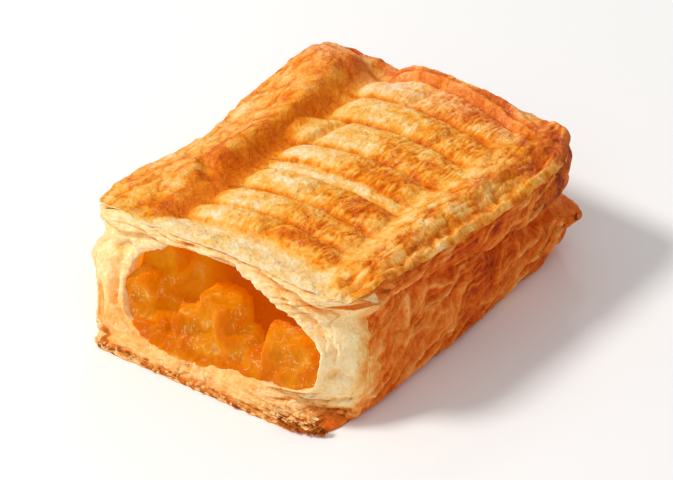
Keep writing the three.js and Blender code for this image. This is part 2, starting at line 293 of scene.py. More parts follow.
def edit_all(piece: Piece, *steps: Callable[[], Any]) -> None:
    """Runs edit-mode steps on the whole of a piece."""
    hold(piece)
    bpy.ops.object.mode_set(mode="EDIT")
    bpy.ops.mesh.select_all(action="SELECT")
    for step in steps:
        step()
    bpy.ops.object.mode_set(mode="OBJECT")


def grid_normals(grid: Array) -> Array:
    """Outward directions of a grid of points whose rows run back to front and whose columns run round."""
    along = np.gradient(grid, axis=0)
    around = np.roll(grid, -1, axis=1) - np.roll(grid, 1, axis=1)
    return directions(np.cross(around, along))


def nearest_step(right: Array, up: Array, steps: int) -> Array:
    """Which of some even steps round a circle each direction points at."""
    return np.rint(np.arctan2(up, right) / (2 * math.pi) * steps).astype(int) % steps


def wrap(
    piece: Piece, grid: Array, marks: dict[str, Array], row: Array, column: Array
) -> Piece:
    """Lays a primitive's vertices on a grid's points, with their marks, and finishes it."""
    lay(piece, grid[row, column])
    for mark, values in marks.items():
        paint(piece, mark, values[row, column])
    return seal(piece, Finishing.SMOOTH)


def skin(name: str, grid: Array, marks: dict[str, Array]) -> Piece:
    """A closed skin over rows of points, whose first and last rows are single points.

    Args:
        name: the piece's name.
        grid: rows by columns by three, in millimetres.
        marks: numbers for each point, by the name that materials read.

    Returns:
        The finished object.
    """
    rows, columns = grid.shape[:2]
    sizes = {"segments": columns, "ring_count": rows - 1, "radius": 1.0}
    piece = primitive(name, bpy.ops.mesh.primitive_uv_sphere_add, **sizes)
    ball = coordinates(piece)
    row = np.rint(np.arccos(np.clip(ball[:, 2], -1, 1)) / math.pi * (rows - 1)).astype(int)
    column = nearest_step(ball[:, 0], ball[:, 1], columns)
    return wrap(piece, grid, marks, row, np.where((row == 0) | (row == rows - 1), 0, column))


def band(name: str, grid: Array, marks: dict[str, Array]) -> Piece:
    """A closed ring over rows of points, in which the last row is followed by the first.

    Args:
        name: the piece's name.
        grid: rows by columns by three, in millimetres; the columns run round the opening.
        marks: numbers for each point, by the name that materials read.

    Returns:
        The finished object.
    """
    rows, columns = grid.shape[:2]
    radius = 2.0
    sizes = {"major_segments": columns, "minor_segments": rows, "major_radius": radius, "minor_radius": 1.0}
    piece = primitive(name, bpy.ops.mesh.primitive_torus_add, **sizes)
    ring = coordinates(piece)
    row = nearest_step(np.hypot(ring[:, 0], ring[:, 1]) - radius, ring[:, 2], rows)
    return wrap(piece, grid, marks, row, nearest_step(ring[:, 0], ring[:, 1], columns))


def sheet_grid(name: str, across: int, along: int) -> tuple[Piece, Array, Array]:
    """A flat grid primitive, with each vertex's two shares from 0 to 1."""
    sizes = {"x_subdivisions": across, "y_subdivisions": along, "size": 2.0}
    piece = primitive(name, bpy.ops.mesh.primitive_grid_add, **sizes)
    flat = coordinates(piece)
    return piece, (flat[:, 0] + 1) / 2, (flat[:, 1] + 1) / 2


def close_sheet(piece: Piece, under: Array, marks: dict[str, Array]) -> Piece:
    """Gives a sheet a hidden back, so that it is a closed slab, and finishes it.

    Args:
        piece: the sheet.
        under: where each of its points would lie on the back, in millimetres; only the border's are used.
        marks: numbers for each of its points, by the name that materials read.

    Returns:
        The finished slab.
    """
    count = len(piece.data.vertices)
    points = coordinates(piece) / MM
    paint(piece, "origin", np.arange(count) / count)
    hold(piece)
    bpy.ops.object.mode_set(mode="EDIT")
    bpy.ops.mesh.select_mode(type="EDGE")
    bpy.ops.mesh.select_all(action="DESELECT")
    bpy.ops.mesh.select_non_manifold(extend=False)
    bpy.ops.mesh.extrude_region_move()
    bpy.ops.mesh.edge_face_add()
    bpy.ops.mesh.select_mode(type="VERT")
    bpy.ops.object.mode_set(mode="OBJECT")
    total = len(piece.data.vertices)
    source = np.zeros(total)
    piece.data.attributes["origin"].data.foreach_get("value", source)
    source = np.rint(source[count:] * count).astype(int)
    lay(piece, np.concatenate([points, under[source]]))
    for mark, values in marks.items():
        paint(piece, mark, np.concatenate([values, values[source]]))
    piece.data.attributes.remove(piece.data.attributes["origin"])
    return seal(piece, Finishing.SMOOTH)


def seal(piece: Piece, how: Finishing) -> Piece:
    """Turns a closed piece's faces outward and finishes it."""
    edit_all(piece, lambda: bpy.ops.mesh.normals_make_consistent(inside=False))
    return finish(piece, how)


def finish(piece: Piece, how: Finishing) -> Piece:
    """Shades a piece and leaves it at the origin."""
    hold(piece)
    bpy.ops.object.transform_apply(location=True, rotation=True, scale=True)
    if how is Finishing.SMOOTH:
        bpy.ops.object.shade_smooth()
    else:
        bpy.ops.object.shade_smooth_by_angle(angle=CREASE_ANGLE)
    return piece


def deliver(piece: Piece, slot: Slot, material: Material, *nodes: str) -> None:
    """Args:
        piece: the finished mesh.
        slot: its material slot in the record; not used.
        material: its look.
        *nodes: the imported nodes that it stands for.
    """
    piece.data.materials.clear()
    piece.data.materials.append(material)
    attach(piece, BODY)
    if nodes:
        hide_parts(*nodes)
    triangles = sum(len(p.vertices) - 2 for p in piece.data.polygons)
    log.info("%-16s %7d triangles", piece.name, triangles)


# ---------------- the form of the pie


@dataclass(frozen=True)
class Spot:
    """A soft patch of the lid and what it adds: millimetres of dough or a share of browning, which on some
    patches is painted shade.

    Where the amount is below 0, the patch is a dip or is left pale.
    """

    x: float
    y: float
    reach_x: float
    reach_y: float
    amount: float

    def at(self, x: Array, y: Array) -> Array:
        """What it adds at a place."""
        return self.amount * bump(x, self.x, self.reach_x) * bump(y, self.y, self.reach_y)


def added(spots: Sequence[Spot], x: Array, y: Array) -> Array:
    """What all of some spots add at a place."""
    return sum(spot.at(x, y) for spot in spots)


SWELLS = (
    Spot(-34, -30, 8, 14, -2.7),
    Spot(-30, -14, 7, 3, -0.9),
    Spot(-33, 4, 8, 14, -2.0),
    Spot(-30, 16.5, 7, 3, -0.9),
    Spot(-36, 41, 8, 9, 3.9),
    Spot(-18, 49, 10, 6, -2.2),
    Spot(33, -30, 5, 9, 0.3),
    Spot(32, -8, 5, 9, 0.9),
    Spot(32, 12, 4, 6, 0.5),
    Spot(35, 40, 7, 9, -0.4),
)


@dataclass
class PieForm:
    """The pie's driving sizes in millimetres, and the surfaces that follow from them.

    The first three come from the frame's crust; the others say how the dough is shaped within them.
    """

    half_width: float = 0.96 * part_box("crust")[1].x / MM
    half_length: float = 0.9966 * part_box("crust")[1].y / MM
    edge_height: float = 0.818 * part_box("crust")[1].z / MM
    front_lean: float = 11.0
    dome_rise: float = 2.6
    mouth_left: float = -26.6
    mouth_right: float = 31.0
    mouth_roof: float = 31.4
    hollow_left: float = -33.0
    hollow_right: float = 34.0
    hollow_floor: float = 4.6
    widening: float = 22.0
    end_taper: float = 4.5
    roof_thickness: float = 5.2
    middle_z: float = 16.0
    wall_inset: float = 1.6
    end_inset: float = 1.6
    lid_overlap: float = 1.2
    front_corners: tuple[float, float] = (5.0, 11.0)
    back_corners: tuple[float, float] = (12.0, 10.0)
    back_bow: float = 3.0
    raised_length: float = 13.0
    flap_height: float = 0.365
    flap_spread: float = 0.065
    floor_powers: tuple[float, float] = (3.4, 5.0)
    roof_powers: tuple[float, float] = (2.8, 2.4)
    noise: Noise = field(default_factory=lambda: Noise(SEED))

    # -- plan

    @property
    def top_front(self) -> float:
        """The y of the broken end at the lid."""
        return -self.half_length + self.front_lean

    def corner_draw(self, x: Array, reach: Array, left: float, right: float) -> Array:
        """How far a rounded plan corner draws an end in, at x, where the walls stand at the reach."""
        radius = np.where(x < 0, left, right)
        past = clamp((np.abs(x) - (reach - radius)) / radius)
        return radius * (1 - np.sqrt(1 - past * past))

    def flap(self, share: Array) -> Array:
        """How near a height share is to the sharp fold that stands out at the back right corner."""
        return np.exp(-np.abs(share - self.flap_height) / self.flap_spread)

    def depth_at(self, x: Array, share: Array, reach: Array, along: Array) -> Array:
        """The y of a place along the crust, between its leaning broken end and its sealed end."""
        start = -self.half_length + self.front_lean * share
        front = self.corner_draw(x, reach, *self.front_corners) * fade(along, 0, 0.2)
        bow = self.back_bow * (x / self.half_width) ** 2
        left, right = self.back_corners
        back = self.corner_draw(x, reach, left, right - 8.5 * self.flap(share)) + bow
        return lerp(start, self.half_length - self.end_inset, along) + front - back * smooth(along, 0.7, 1)

    # -- walls

    def waist_at(self, side: Array, y: Array) -> Array:
        """Height share of the groove under the lid's edge, which falls towards the sealed end."""
        fall = smooth(y, -42, 44)
        return np.where(side > 0, lerp(0.88, 0.56, fall), lerp(0.74, 0.6, fall))

    def near_raised(self, side: Array, y: Array) -> Array:
        """How near a wall place is to the raised back right corner, from 0 to 1."""
        return smooth(y, self.half_length - self.raised_length, self.half_length) ** 2 * (side > 0)

    @staticmethod
    def low_down(share: Array) -> Array:
        """How near a height share is to the base, from 1 there to 0 a little below half way."""
        return fade(share, 0.05, 0.42)

    def wall_reach(self, side: Array, y: Array, share: Array) -> Array:
        """Half width of the crust at a height share of 0 at the base to 1 at the lid's edge."""
        tuck = 1.8 * fade(share, 0, 0.1)
        towards_back = smooth(y, -10, 48)
        waist_depth = 1.3 + 2.9 * towards_back
        groove = self.waist_at(side, y)
        waist = waist_depth * bump(share, groove, 0.05 + 0.05 * towards_back)
        fold = 0.9 * bump(share, 0.34, 0.12)
        wave = 0.7 * self.noise.at(stack(10 * side, y, 30 * share), 19)
        flare = self.near_raised(side, y) * (3.0 * self.flap(share) + self.low_down(share))
        overhang = 1.6 * smooth(share, groove + 0.03, groove + 0.12)
        near_break = fade(y, -45, 5)
        upper = smooth(share, 0.5, 0.85)
        left_sway = 1.8 * np.cos(2 * math.pi * (y + 33) / 62) * upper
        belly = 2.1 * bump(share, 0.6, 0.12) - 1.5 * bump(share, 0.79, 0.09)
        belly = belly - 2.6 * fade(share, 0.25, 0.55)
        foot = (0.8 * bump(y, -8, 12) - 1.2 * bump(y, 26, 11)) * fade(share, 0.1, 0.45)
        sway = np.where(side < 0, left_sway + belly * near_break, foot - 2.4 * near_break * upper)
        return self.half_width - self.wall_inset - tuck - waist + fold + wave + flare + overhang + sway

    def wall_height(self, side: Array, y: Array, share: Array) -> Array:
        """Height of a wall point, whose lower edge lifts at the raised back right corner."""
        edge = self.lid_base(side * self.half_width, y) - self.lid_overlap
        return share * edge + 5 * self.near_raised(side, y) * self.low_down(share)

    def wall_point(self, side: float, along: Array, share: Array) -> Array:
        """A place on a wall.

        Args:
            side: -1 for the left wall, 1 for the right one.
            along: 0 at the broken end to 1 at the sealed end.
            share: 0 at the base to 1 at the lid's edge.

        Returns:
            The point.
        """
        sides = np.full(np.shape(share), side)
        centre = self.depth_at(0.0, share, self.half_width, along)
        reach = self.wall_reach(sides, centre, share)
        y = self.depth_at(side * reach, share, reach, along)
        return stack(side * reach, y, self.wall_height(sides, centre, share))

    # -- lid

    def dome(self, x: Array) -> Array:
        """How far the lid's rounded back rises above its edges."""
        return self.dome_rise * (1 - (x / self.half_width) ** 2)

    def torn_drop(self, x: Array, y: Array) -> Array:
        """How far the lid sinks at the right of the break."""
        return 2.6 * fade(y, -44, -28) * smooth(x, 21, self.half_width)

    def lid_base(self, x: Array, y: Array) -> Array:
        """Height of the lid without its slats: the dome, the puffed rims and the swells of baked dough."""
        started = lerp(0.45, 1.0, smooth(y, -50, -30))
        left_rim = 4.3 * started * bump(x, -31.5, 6.3)
        right_rim = 3.2 * started * bump(x, 32.5, 4.8)
        back_rim = 2.4 * bump(y, 51.2, 2.1)
        fall = 2.2 * smooth(y, 51, self.half_length + 0.5)
        rims = np.maximum(np.maximum(left_rim, right_rim), back_rim)
        wave = 0.7 * self.noise.at(stack(x, y, 5.0), 21)
        rise = self.dome(x) + rims + added(SWELLS, x, y)
        return self.edge_height + rise - fall - self.torn_drop(x, y) + wave

    # -- section

    def across(self, share: Array, up: float, along: float) -> tuple[Array, Array]:
        """The x and y of places from the left wall, at a share of 0, to the right one, at one height."""
        middle = self.depth_at(0.0, up, self.half_width, along)
        left, right = self.wall_reach(-1.0, middle, up), self.wall_reach(1.0, middle, up)
        x = lerp(-left, right, share)
        return x, self.depth_at(x, up, np.where(x < 0, left, right), along)

    def ring(self, columns: Sequence[int], along: float) -> Array:
        """One closed section of the crust, from the left end of the base round by the right wall.

        Args:
            columns: how many points lie on the base, each wall and the lid's side.
            along: 0 at the broken end to 1 at the sealed end.

        Returns:
            The section's points.
        """
        base, wall, top = columns
        share = 0.5 - 0.5 * np.cos(math.pi * (np.arange(base) + 0.5) / base)
        raised = self.wall_height(1.0, self.depth_at(0.0, 0.0, self.half_width, along), 0.0)
        floor = stack(*self.across(share, 0.0, along), raised * smooth(share, 0.8, 1))
        climb = np.arange(wall) / (wall - 1)
        right, left = self.wall_point(1.0, along, climb), self.wall_point(-1.0, along, climb[::-1])
        x, y = self.across(1 - (np.arange(top) + 1) / (top + 1), 1.0, along)
        return np.concatenate([floor, right, stack(x, y, self.lid_base(x, y) - self.lid_overlap), left])

    # -- hollow

    def widened(self, y: Array) -> Array:
        """How far the hollow has widened from its mouth at some depth, from 0 to 1."""
        return smooth(y, self.top_front, self.top_front + self.widening)

    def roof(self, x: Array, y: Array) -> Array:
        """Height of the hollow's roof, which sags to the right at the mouth and follows the lid inside."""
        mouth = self.mouth_roof - 5.5 * smooth(x, 0, 1.2 * self.mouth_right) - 1.1 * fade(x, -14, 0)
        return lerp(mouth, self.edge_height + self.dome(x) - self.roof_thickness, self.widened(y))

    def floor(self, x: Array, y: Array) -> Array:
        """Height of the hollow's floor, which is thicker to the right at the mouth."""
        share = clamp((x - self.mouth_left) / (self.mouth_right - self.mouth_left))
        return lerp(lerp(4.8, 7.6, share), self.hollow_floor, self.widened(y))

    def hollow(self, angle: Array, y: Array, inset: Array = 0.0) -> Array:
        """Points of the hollow's outline, a rounded arch over a squarer floor.

        Args:
            angle: directions from the middle of the hollow, 0 towards +X and a quarter turn upwards.
            y: depth of each point.
            inset: how far inside the outline the points lie.

        Returns:
            The points.
        """
        cos, sin = np.cos(angle), np.sin(angle)
        inset = inset + self.end_taper * smooth(y, 12, 40)
        left = lerp(self.mouth_left, self.hollow_left, self.widened(y))
        right = lerp(self.mouth_right, self.hollow_right, self.widened(y))
        reach = np.where(cos < 0, -left, right) - inset
        rough_x = reach * cos
        down = self.middle_z - self.floor(rough_x, y) - inset
        up = self.roof(rough_x, y) - self.middle_z - inset
        arch = np.where(sin < 0, np.where(cos < 0, *self.floor_powers), np.where(cos < 0, *self.roof_powers))
        height = np.maximum(np.where(sin < 0, down, up), 0.5)
        radius = (np.abs(cos / reach) ** arch + np.abs(sin / height) ** arch) ** (-1 / arch)
        return stack(radius * cos, y, self.middle_z + radius * sin)

    def broken_front(self, z: Array) -> Array:
        """The y at which the broken end passes a given height."""
        return -self.half_length + self.front_lean * np.clip(z / self.edge_height, 0, 1.1)

    def torn_share(self, points: Array) -> Array:
        """How bare of baked skin a place on the walls is, from 1 at the broken end to 0 behind it."""
        x, y, z = np.moveaxis(points, -1, 0)
        ragged = 2.6 * self.noise.layered(points + 21, (6, 6, 3.5), 3)
        behind = y - self.torn_y(x, z) + ragged - 6.0 * (x < 0) + 5.0 * smooth(x, 24, 34)
        return fade(behind, -1.5, 6.5)

    def torn_y(self, x: Array, z: Array) -> Array:
        """The y of the torn face on the crust's outline, drawn back at its rounded corners."""
        reach = self.half_width - self.wall_inset
        return self.broken_front(z) + self.corner_draw(x, reach, *self.front_corners)


# ---------------- shader wiring


class Wire:
    """A shader socket that takes part in Python sums, each of which adds a Math node."""

    def __init__(self, shader: "Shader", socket: bpy.types.NodeSocket) -> None:
        """Wraps an output socket of a shader."""
        self.shader = shader
        self.socket = socket

    def _maths(self, operation: str, *values: Any) -> "Wire":
        """One Math node over numbers and wires."""
        inputs = dict(enumerate(values))
        return self.shader.node("ShaderNodeMath", {"operation": operation}, inputs)

    def __add__(self, other: Any) -> "Wire":
        """Sum."""
        return self._maths("ADD", self, other)

    __radd__ = __add__

    def __sub__(self, other: Any) -> "Wire":
        """Difference."""
        return self._maths("SUBTRACT", self, other)

    def __rsub__(self, other: Any) -> "Wire":
        """Difference from a number."""
        return self._maths("SUBTRACT", other, self)

    def __mul__(self, other: Any) -> "Wire":
        """Product."""
        return self._maths("MULTIPLY", self, other)

    __rmul__ = __mul__

    def step(self, low: float, high: float, start: float = 0.0, end: float = 1.0) -> "Wire":
        """A soft step from start at low to end at high."""
        settings = {"interpolation_type": "SMOOTHSTEP"}
        values = {"Value": self, "From Min": low, "From Max": high, "To Min": start, "To Max": end}
        return self.shader.node("ShaderNodeMapRange", settings, values)


class Shader:
    """A material under construction."""

    def __init__(self, name: str) -> None:
        """Starts an empty material with a Principled surface."""
        self.material = bpy.data.materials.new(name)
        self.material.use_nodes = True
        self.tree = self.material.node_tree
        self.tree.nodes.clear()
        output = self.tree.nodes.new("ShaderNodeOutputMaterial")
        self.surface = self.tree.nodes.new("ShaderNodeBsdfPrincipled")
        self.tree.links.new(self.surface.outputs[0], output.inputs["Surface"])
        self.place = self.node("ShaderNodeTexCoord", {}, {}, "Object")

    def plug(self, socket: bpy.types.NodeSocket, value: Any) -> None:
        """Links a wire to a socket, or sets a plain value on it."""
        if isinstance(value, Wire):
            self.tree.links.new(value.socket, socket)
        elif isinstance(value, tuple) and len(value) == 3 and socket.type == "RGBA":
            socket.default_value = (*value, 1.0)
        else:
            socket.default_value = value

    def node(self, kind: str, settings: dict[str, Any], values: dict[Any, Any], output: Any = 0) -> Wire:
        """Adds one node.

        Args:
            kind: the node's type.
            settings: its own properties; stops sets a colour ramp.
            values: numbers, colours or wires for its sockets, by name or place.
            output: the name or place of the socket to return.

        Returns:
            The node's output.
        """
        made = self.tree.nodes.new(kind)
        for name, value in settings.items():
            if name == "stops":
                self._set_stops(made.color_ramp, value)
            else:
                setattr(made, name, value)
        for socket, value in values.items():
            self.plug(made.inputs[socket], value)
        return Wire(self, made.outputs[output])

    @staticmethod
    def _set_stops(ramp: bpy.types.ColorRamp, stops: Stops) -> None:
        """Gives a colour ramp its stops."""
        while len(ramp.elements) < len(stops):
            ramp.elements.new(0.5)
        for element, (place, colour) in zip(ramp.elements, stops):
            element.position = place
            element.color = (*colour, 1.0)

    def mark(self, name: str) -> Wire:
        """A number that the piece's mesh holds for each vertex."""
        return self.node("ShaderNodeAttribute", {"attribute_name": name}, {}, "Fac")

    def noise(
        self, size: float, detail: float = 3.0, rough: float = 0.55, warp: float = 0.0, shift: float = 0.0,
        kind: Pattern = Pattern.CLOUDS, tall: float = 1.0,
    ) -> Wire:
        """Noise of 0 to 1.

        Args:
            size: size of one swell, in millimetres.
            detail: how many finer layers it has.
            rough: how strong the finer layers are.
            warp: how far its own swells distort it.
            shift: where it starts, so that two noises of one size differ.
            kind: its pattern.
            tall: how many times taller than wide its swells are.

        Returns:
            The noise.
        """
        place = self.place
        if tall != 1.0:
            shares = (1.0, 1.0, 1.0 / tall)
            place = self.node("ShaderNodeVectorMath", {"operation": "MULTIPLY"}, {0: place, 1: shares})
        if shift:
            place = self.node("ShaderNodeVectorMath", {"operation": "ADD"}, {0: place, 1: 3 * (shift,)})
        values = {"Vector": place, "Scale": 1 / (size * MM), "Detail": detail}
        values.update({"Roughness": rough, "Distortion": warp})
        return self.node("ShaderNodeTexNoise", {"noise_type": kind.value}, values)

    def mix(self, share: Any, first: Any, second: Any) -> Wire:
        """The mix of two colours."""
        settings = {"data_type": "RGBA", "clamp_factor": True}
        return self.node("ShaderNodeMix", settings, {0: share, 6: first, 7: second}, 2)

    def ramp(self, value: Wire, stops: Stops) -> Wire:
        """A colour along a ramp."""
        return self.node("ShaderNodeValToRGB", {"stops": stops}, {0: value})

    def bump(self, height: Wire, depth: float) -> Wire:
        """A normal from a height of 0 to 1 that stands for a depth in millimetres."""
        return self.node("ShaderNodeBump", {}, {"Height": height, "Distance": depth * MM, "Strength": 1.0})

    def finish(self, **sockets: Any) -> Material:
        """Fills the surface's sockets, whose names have _ for each space."""
        for name, value in sockets.items():
            self.plug(self.surface.inputs[name.replace("_", " ")], value)
        return self.material


def tint(red: int, green: int, blue: int) -> Colour:
    """A scene-linear colour from screen values of 0 to 255."""
    shares = [c / 255 for c in (red, green, blue)]
    return tuple(s / 12.92 if s <= 0.04045 else ((s + 0.055) / 1.055) ** 2.4 for s in shares)


def stops(*places: tuple[float, int, int, int]) -> Stops:
    """A ramp's stops, each given as its place and its colour's screen values."""
    return tuple((place, tint(*screen)) for place, *screen in places)


# ---------------- finishes

BAKING = stops(
    (0.00, 252, 226, 184), (0.14, 252, 208, 142), (0.30, 249, 187, 92), (0.46, 243, 161, 48),
    (0.62, 230, 128, 12), (0.78, 212, 98, 0), (0.90, 184, 72, 0), (1.00, 132, 46, 4),
)
DRAPED = stops(
    (0.00, 248, 214, 160), (0.16, 250, 198, 126), (0.34, 250, 172, 92), (0.52, 240, 138, 52),
    (0.68, 226, 106, 20), (0.84, 200, 74, 4), (1.00, 146, 42, 2),
)
ROSY = stops(
    (0.00, 252, 226, 190), (0.24, 252, 198, 142), (0.42, 246, 166, 94), (0.56, 236, 138, 60),
    (0.70, 220, 112, 38), (0.84, 196, 86, 26), (1.00, 134, 48, 14),
)
CRUMB = stops(
    (0.00, 252, 224, 172), (0.16, 250, 206, 140), (0.34, 243, 182, 104), (0.52, 230, 148, 66),
    (0.72, 204, 108, 34), (1.00, 140, 58, 12),
)
# Colour of the painted glints, pale specks that stand for highlights.
PAINTED_GLINT = tint(255, 228, 196)
BLACK = (0.0, 0.0, 0.0)
SOAKED = stops((0.1, 246, 190, 108), (0.5, 236, 156, 40), (1.0, 230, 134, 6))
SYRUP = stops((0.00, 246, 182, 100), (0.18, 238, 144, 14), (0.46, 228, 118, 0), (1.00, 214, 96, 0))


@dataclass(frozen=True)
class BakedPastry:
    """Puff pastry, from pale crumb to browned crust, glazed with egg where its marks say so, with painted
    shade in its dips, painted glints and a painted glow.
    """

    name: str = "baked_pastry"
    colours: Stops = BAKING
    specular: float = 0.17
    grain: float = 1.0
    mottle_and_relief_shade: float = 0.42
    # Strength of the painted glow that the material emits from its own colour.
    painted_glow: float = 0.4
    painted_glint: float = 0.0

    def make(self) -> Material:
        """Builds the material, which reads the marks bake, glaze, soak, rosy and calm."""
        shader = Shader(self.name)
        bake, soak, glaze, calm = (shader.mark(name) for name in ("bake", "soak", "glaze", "calm"))
        patches = shader.noise(4.5, detail=4.0, rough=0.6, warp=0.6)
        ripples = shader.noise(2.0, rough=0.5, warp=0.8, shift=9.0)
        grain = shader.noise(0.9, detail=4.0, rough=0.6, warp=0.3, shift=3.0)
        crests = shader.noise(1.9, detail=4.0, rough=0.6, warp=0.6, shift=6.0, kind=Pattern.RIDGES)
        fine = grain * 0.75 + crests.step(0.1, 0.9) * 0.25
        # The patches are the crust's own mottling; the fine and ripple noises, which also make the bump, add
        # painted shade in its dips and painted light on its rises.
        spread = (patches - 0.5) * 1.3 - (ripples - 0.5) * 1.1 - (fine - 0.4) * 1.25
        baked = bake + spread * (1 - calm * 0.5) * self.mottle_and_relief_shade
        crust = shader.mix(shader.mark("rosy"), shader.ramp(baked, self.colours), shader.ramp(baked, ROSY))
        # Painted glints: pale specks mixed into the base colour, in clusters on the glazed crust, standing in
        # for highlights.
        glint_clusters = shader.noise(5.0, detail=2.0, rough=0.5, warp=0.6, shift=24.0).step(0.5, 0.6)
        painted_glints = shader.noise(0.55, detail=2.0, rough=0.5, warp=0.8, shift=21.0).step(0.55, 0.65)
        crust = shader.mix(painted_glints * glint_clusters * glaze * (1 - calm) * self.painted_glint, crust, PAINTED_GLINT)
        wet = shader.ramp(soak + (patches - 0.5) * 0.2, SOAKED)
        shine = shader.noise(2.0, warp=0.3, shift=5.0).step(0.44, 0.6) * glaze
        colour = shader.mix(soak.step(0.02, 0.3), crust, wet)
        return shader.finish(
            Base_Color=colour,
            # Painted glow: a share of the colour is emitted, more where soaked, standing in for light
            # scattered through the crust and filling its shade.
            Emission_Color=shader.mix(soak.step(0.0, 1.0, 0.12, 0.7), BLACK, colour),
            Emission_Strength=self.painted_glow,
            Roughness=0.74 - glaze * 0.12 - shine * 0.24 - soak * 0.35,
            Normal=shader.bump(fine + ripples, 0.7 * self.grain),
            Subsurface_Weight=0.2,
            Subsurface_Radius=(1.0, 0.42, 0.14),
            Subsurface_Scale=1.6 * MM,
            Specular_IOR_Level=self.specular,
        )


@dataclass(frozen=True)
class StewedApple:
    """Wet, translucent amber fruit in syrup, with painted glints and a painted glow that stands in for light
    scattered through it.
    """

    name: str = "stewed_apple"
    depths: Stops = SYRUP
    painted_glint_colour: Colour = tint(255, 218, 160)
    painted_glow_share: float = 0.5
    painted_glow: float = 0.42

    def make(self) -> Material:
        """Builds the material, which reads the marks soak, for the depth of its colour and its painted shade,
        and glaze, for where its painted glints go.
        """
        shader = Shader(self.name)
        depth = shader.mark("soak")
        swirl = shader.noise(5.0, rough=0.6, warp=0.8)
        clear = shader.ramp(depth + (swirl - 0.5) * 0.5, self.depths)
        # Painted glints: pale specks mixed into the colour in clusters where the mark says, standing in for
        # sparkling highlights on the wet fruit.
        glint_clusters = shader.noise(4.5, detail=2.0, rough=0.5, warp=0.4, shift=14.0).step(0.5, 0.57)
        painted_specks = shader.noise(0.5, detail=2.0, rough=0.5, warp=0.4, shift=17.0, tall=2.2).step(0.56, 0.64)
        colour = shader.mix(painted_specks * glint_clusters * shader.mark("glaze") * 0.5, clear, self.painted_glint_colour)
        beads = shader.noise(1.1, rough=0.6, warp=0.5, shift=9.0, kind=Pattern.RIDGES)
        fibres = shader.noise(2.0, rough=0.6, warp=0.5, shift=4.0)
        return shader.finish(
            # Half of the lit colour is taken away and made up by the painted glow, which emits the colour with
            # no lamp.
            Base_Color=shader.mix(self.painted_glow_share, colour, BLACK),
            Emission_Color=colour,
            Emission_Strength=self.painted_glow,
            Roughness=fibres.step(0.4, 0.6, 0.1, 0.25),
            Normal=shader.bump(beads * 0.4 + fibres * 0.6, 0.42),
            Subsurface_Weight=0.7,
            Subsurface_Radius=(1.0, 0.6, 0.08),
            Subsurface_Scale=4.0 * MM,
            Specular_IOR_Level=0.06,
        )


@dataclass(frozen=True)
class PlainFloor:
    """A plain pale table top."""

    colour: Colour = (0.95, 0.95, 0.95)

    def make(self) -> Material:
        """Builds the material."""
        return Shader("plain_floor").finish(Base_Color=self.colour, Roughness=0.9, Specular_IOR_Level=0.1)


# ---------------- the lid


@dataclass(frozen=True)
class Bar:
    """One puffed slat of the lid: its front groove at the two ends, its own ends, its rise and its dent."""

    front_left: float
    front_right: float
    left: float
    right: float
    rise: float
    fade: float = 6.0
    dent: float = 0.0
    dent_depth: float = 0.4
    bare: bool = False


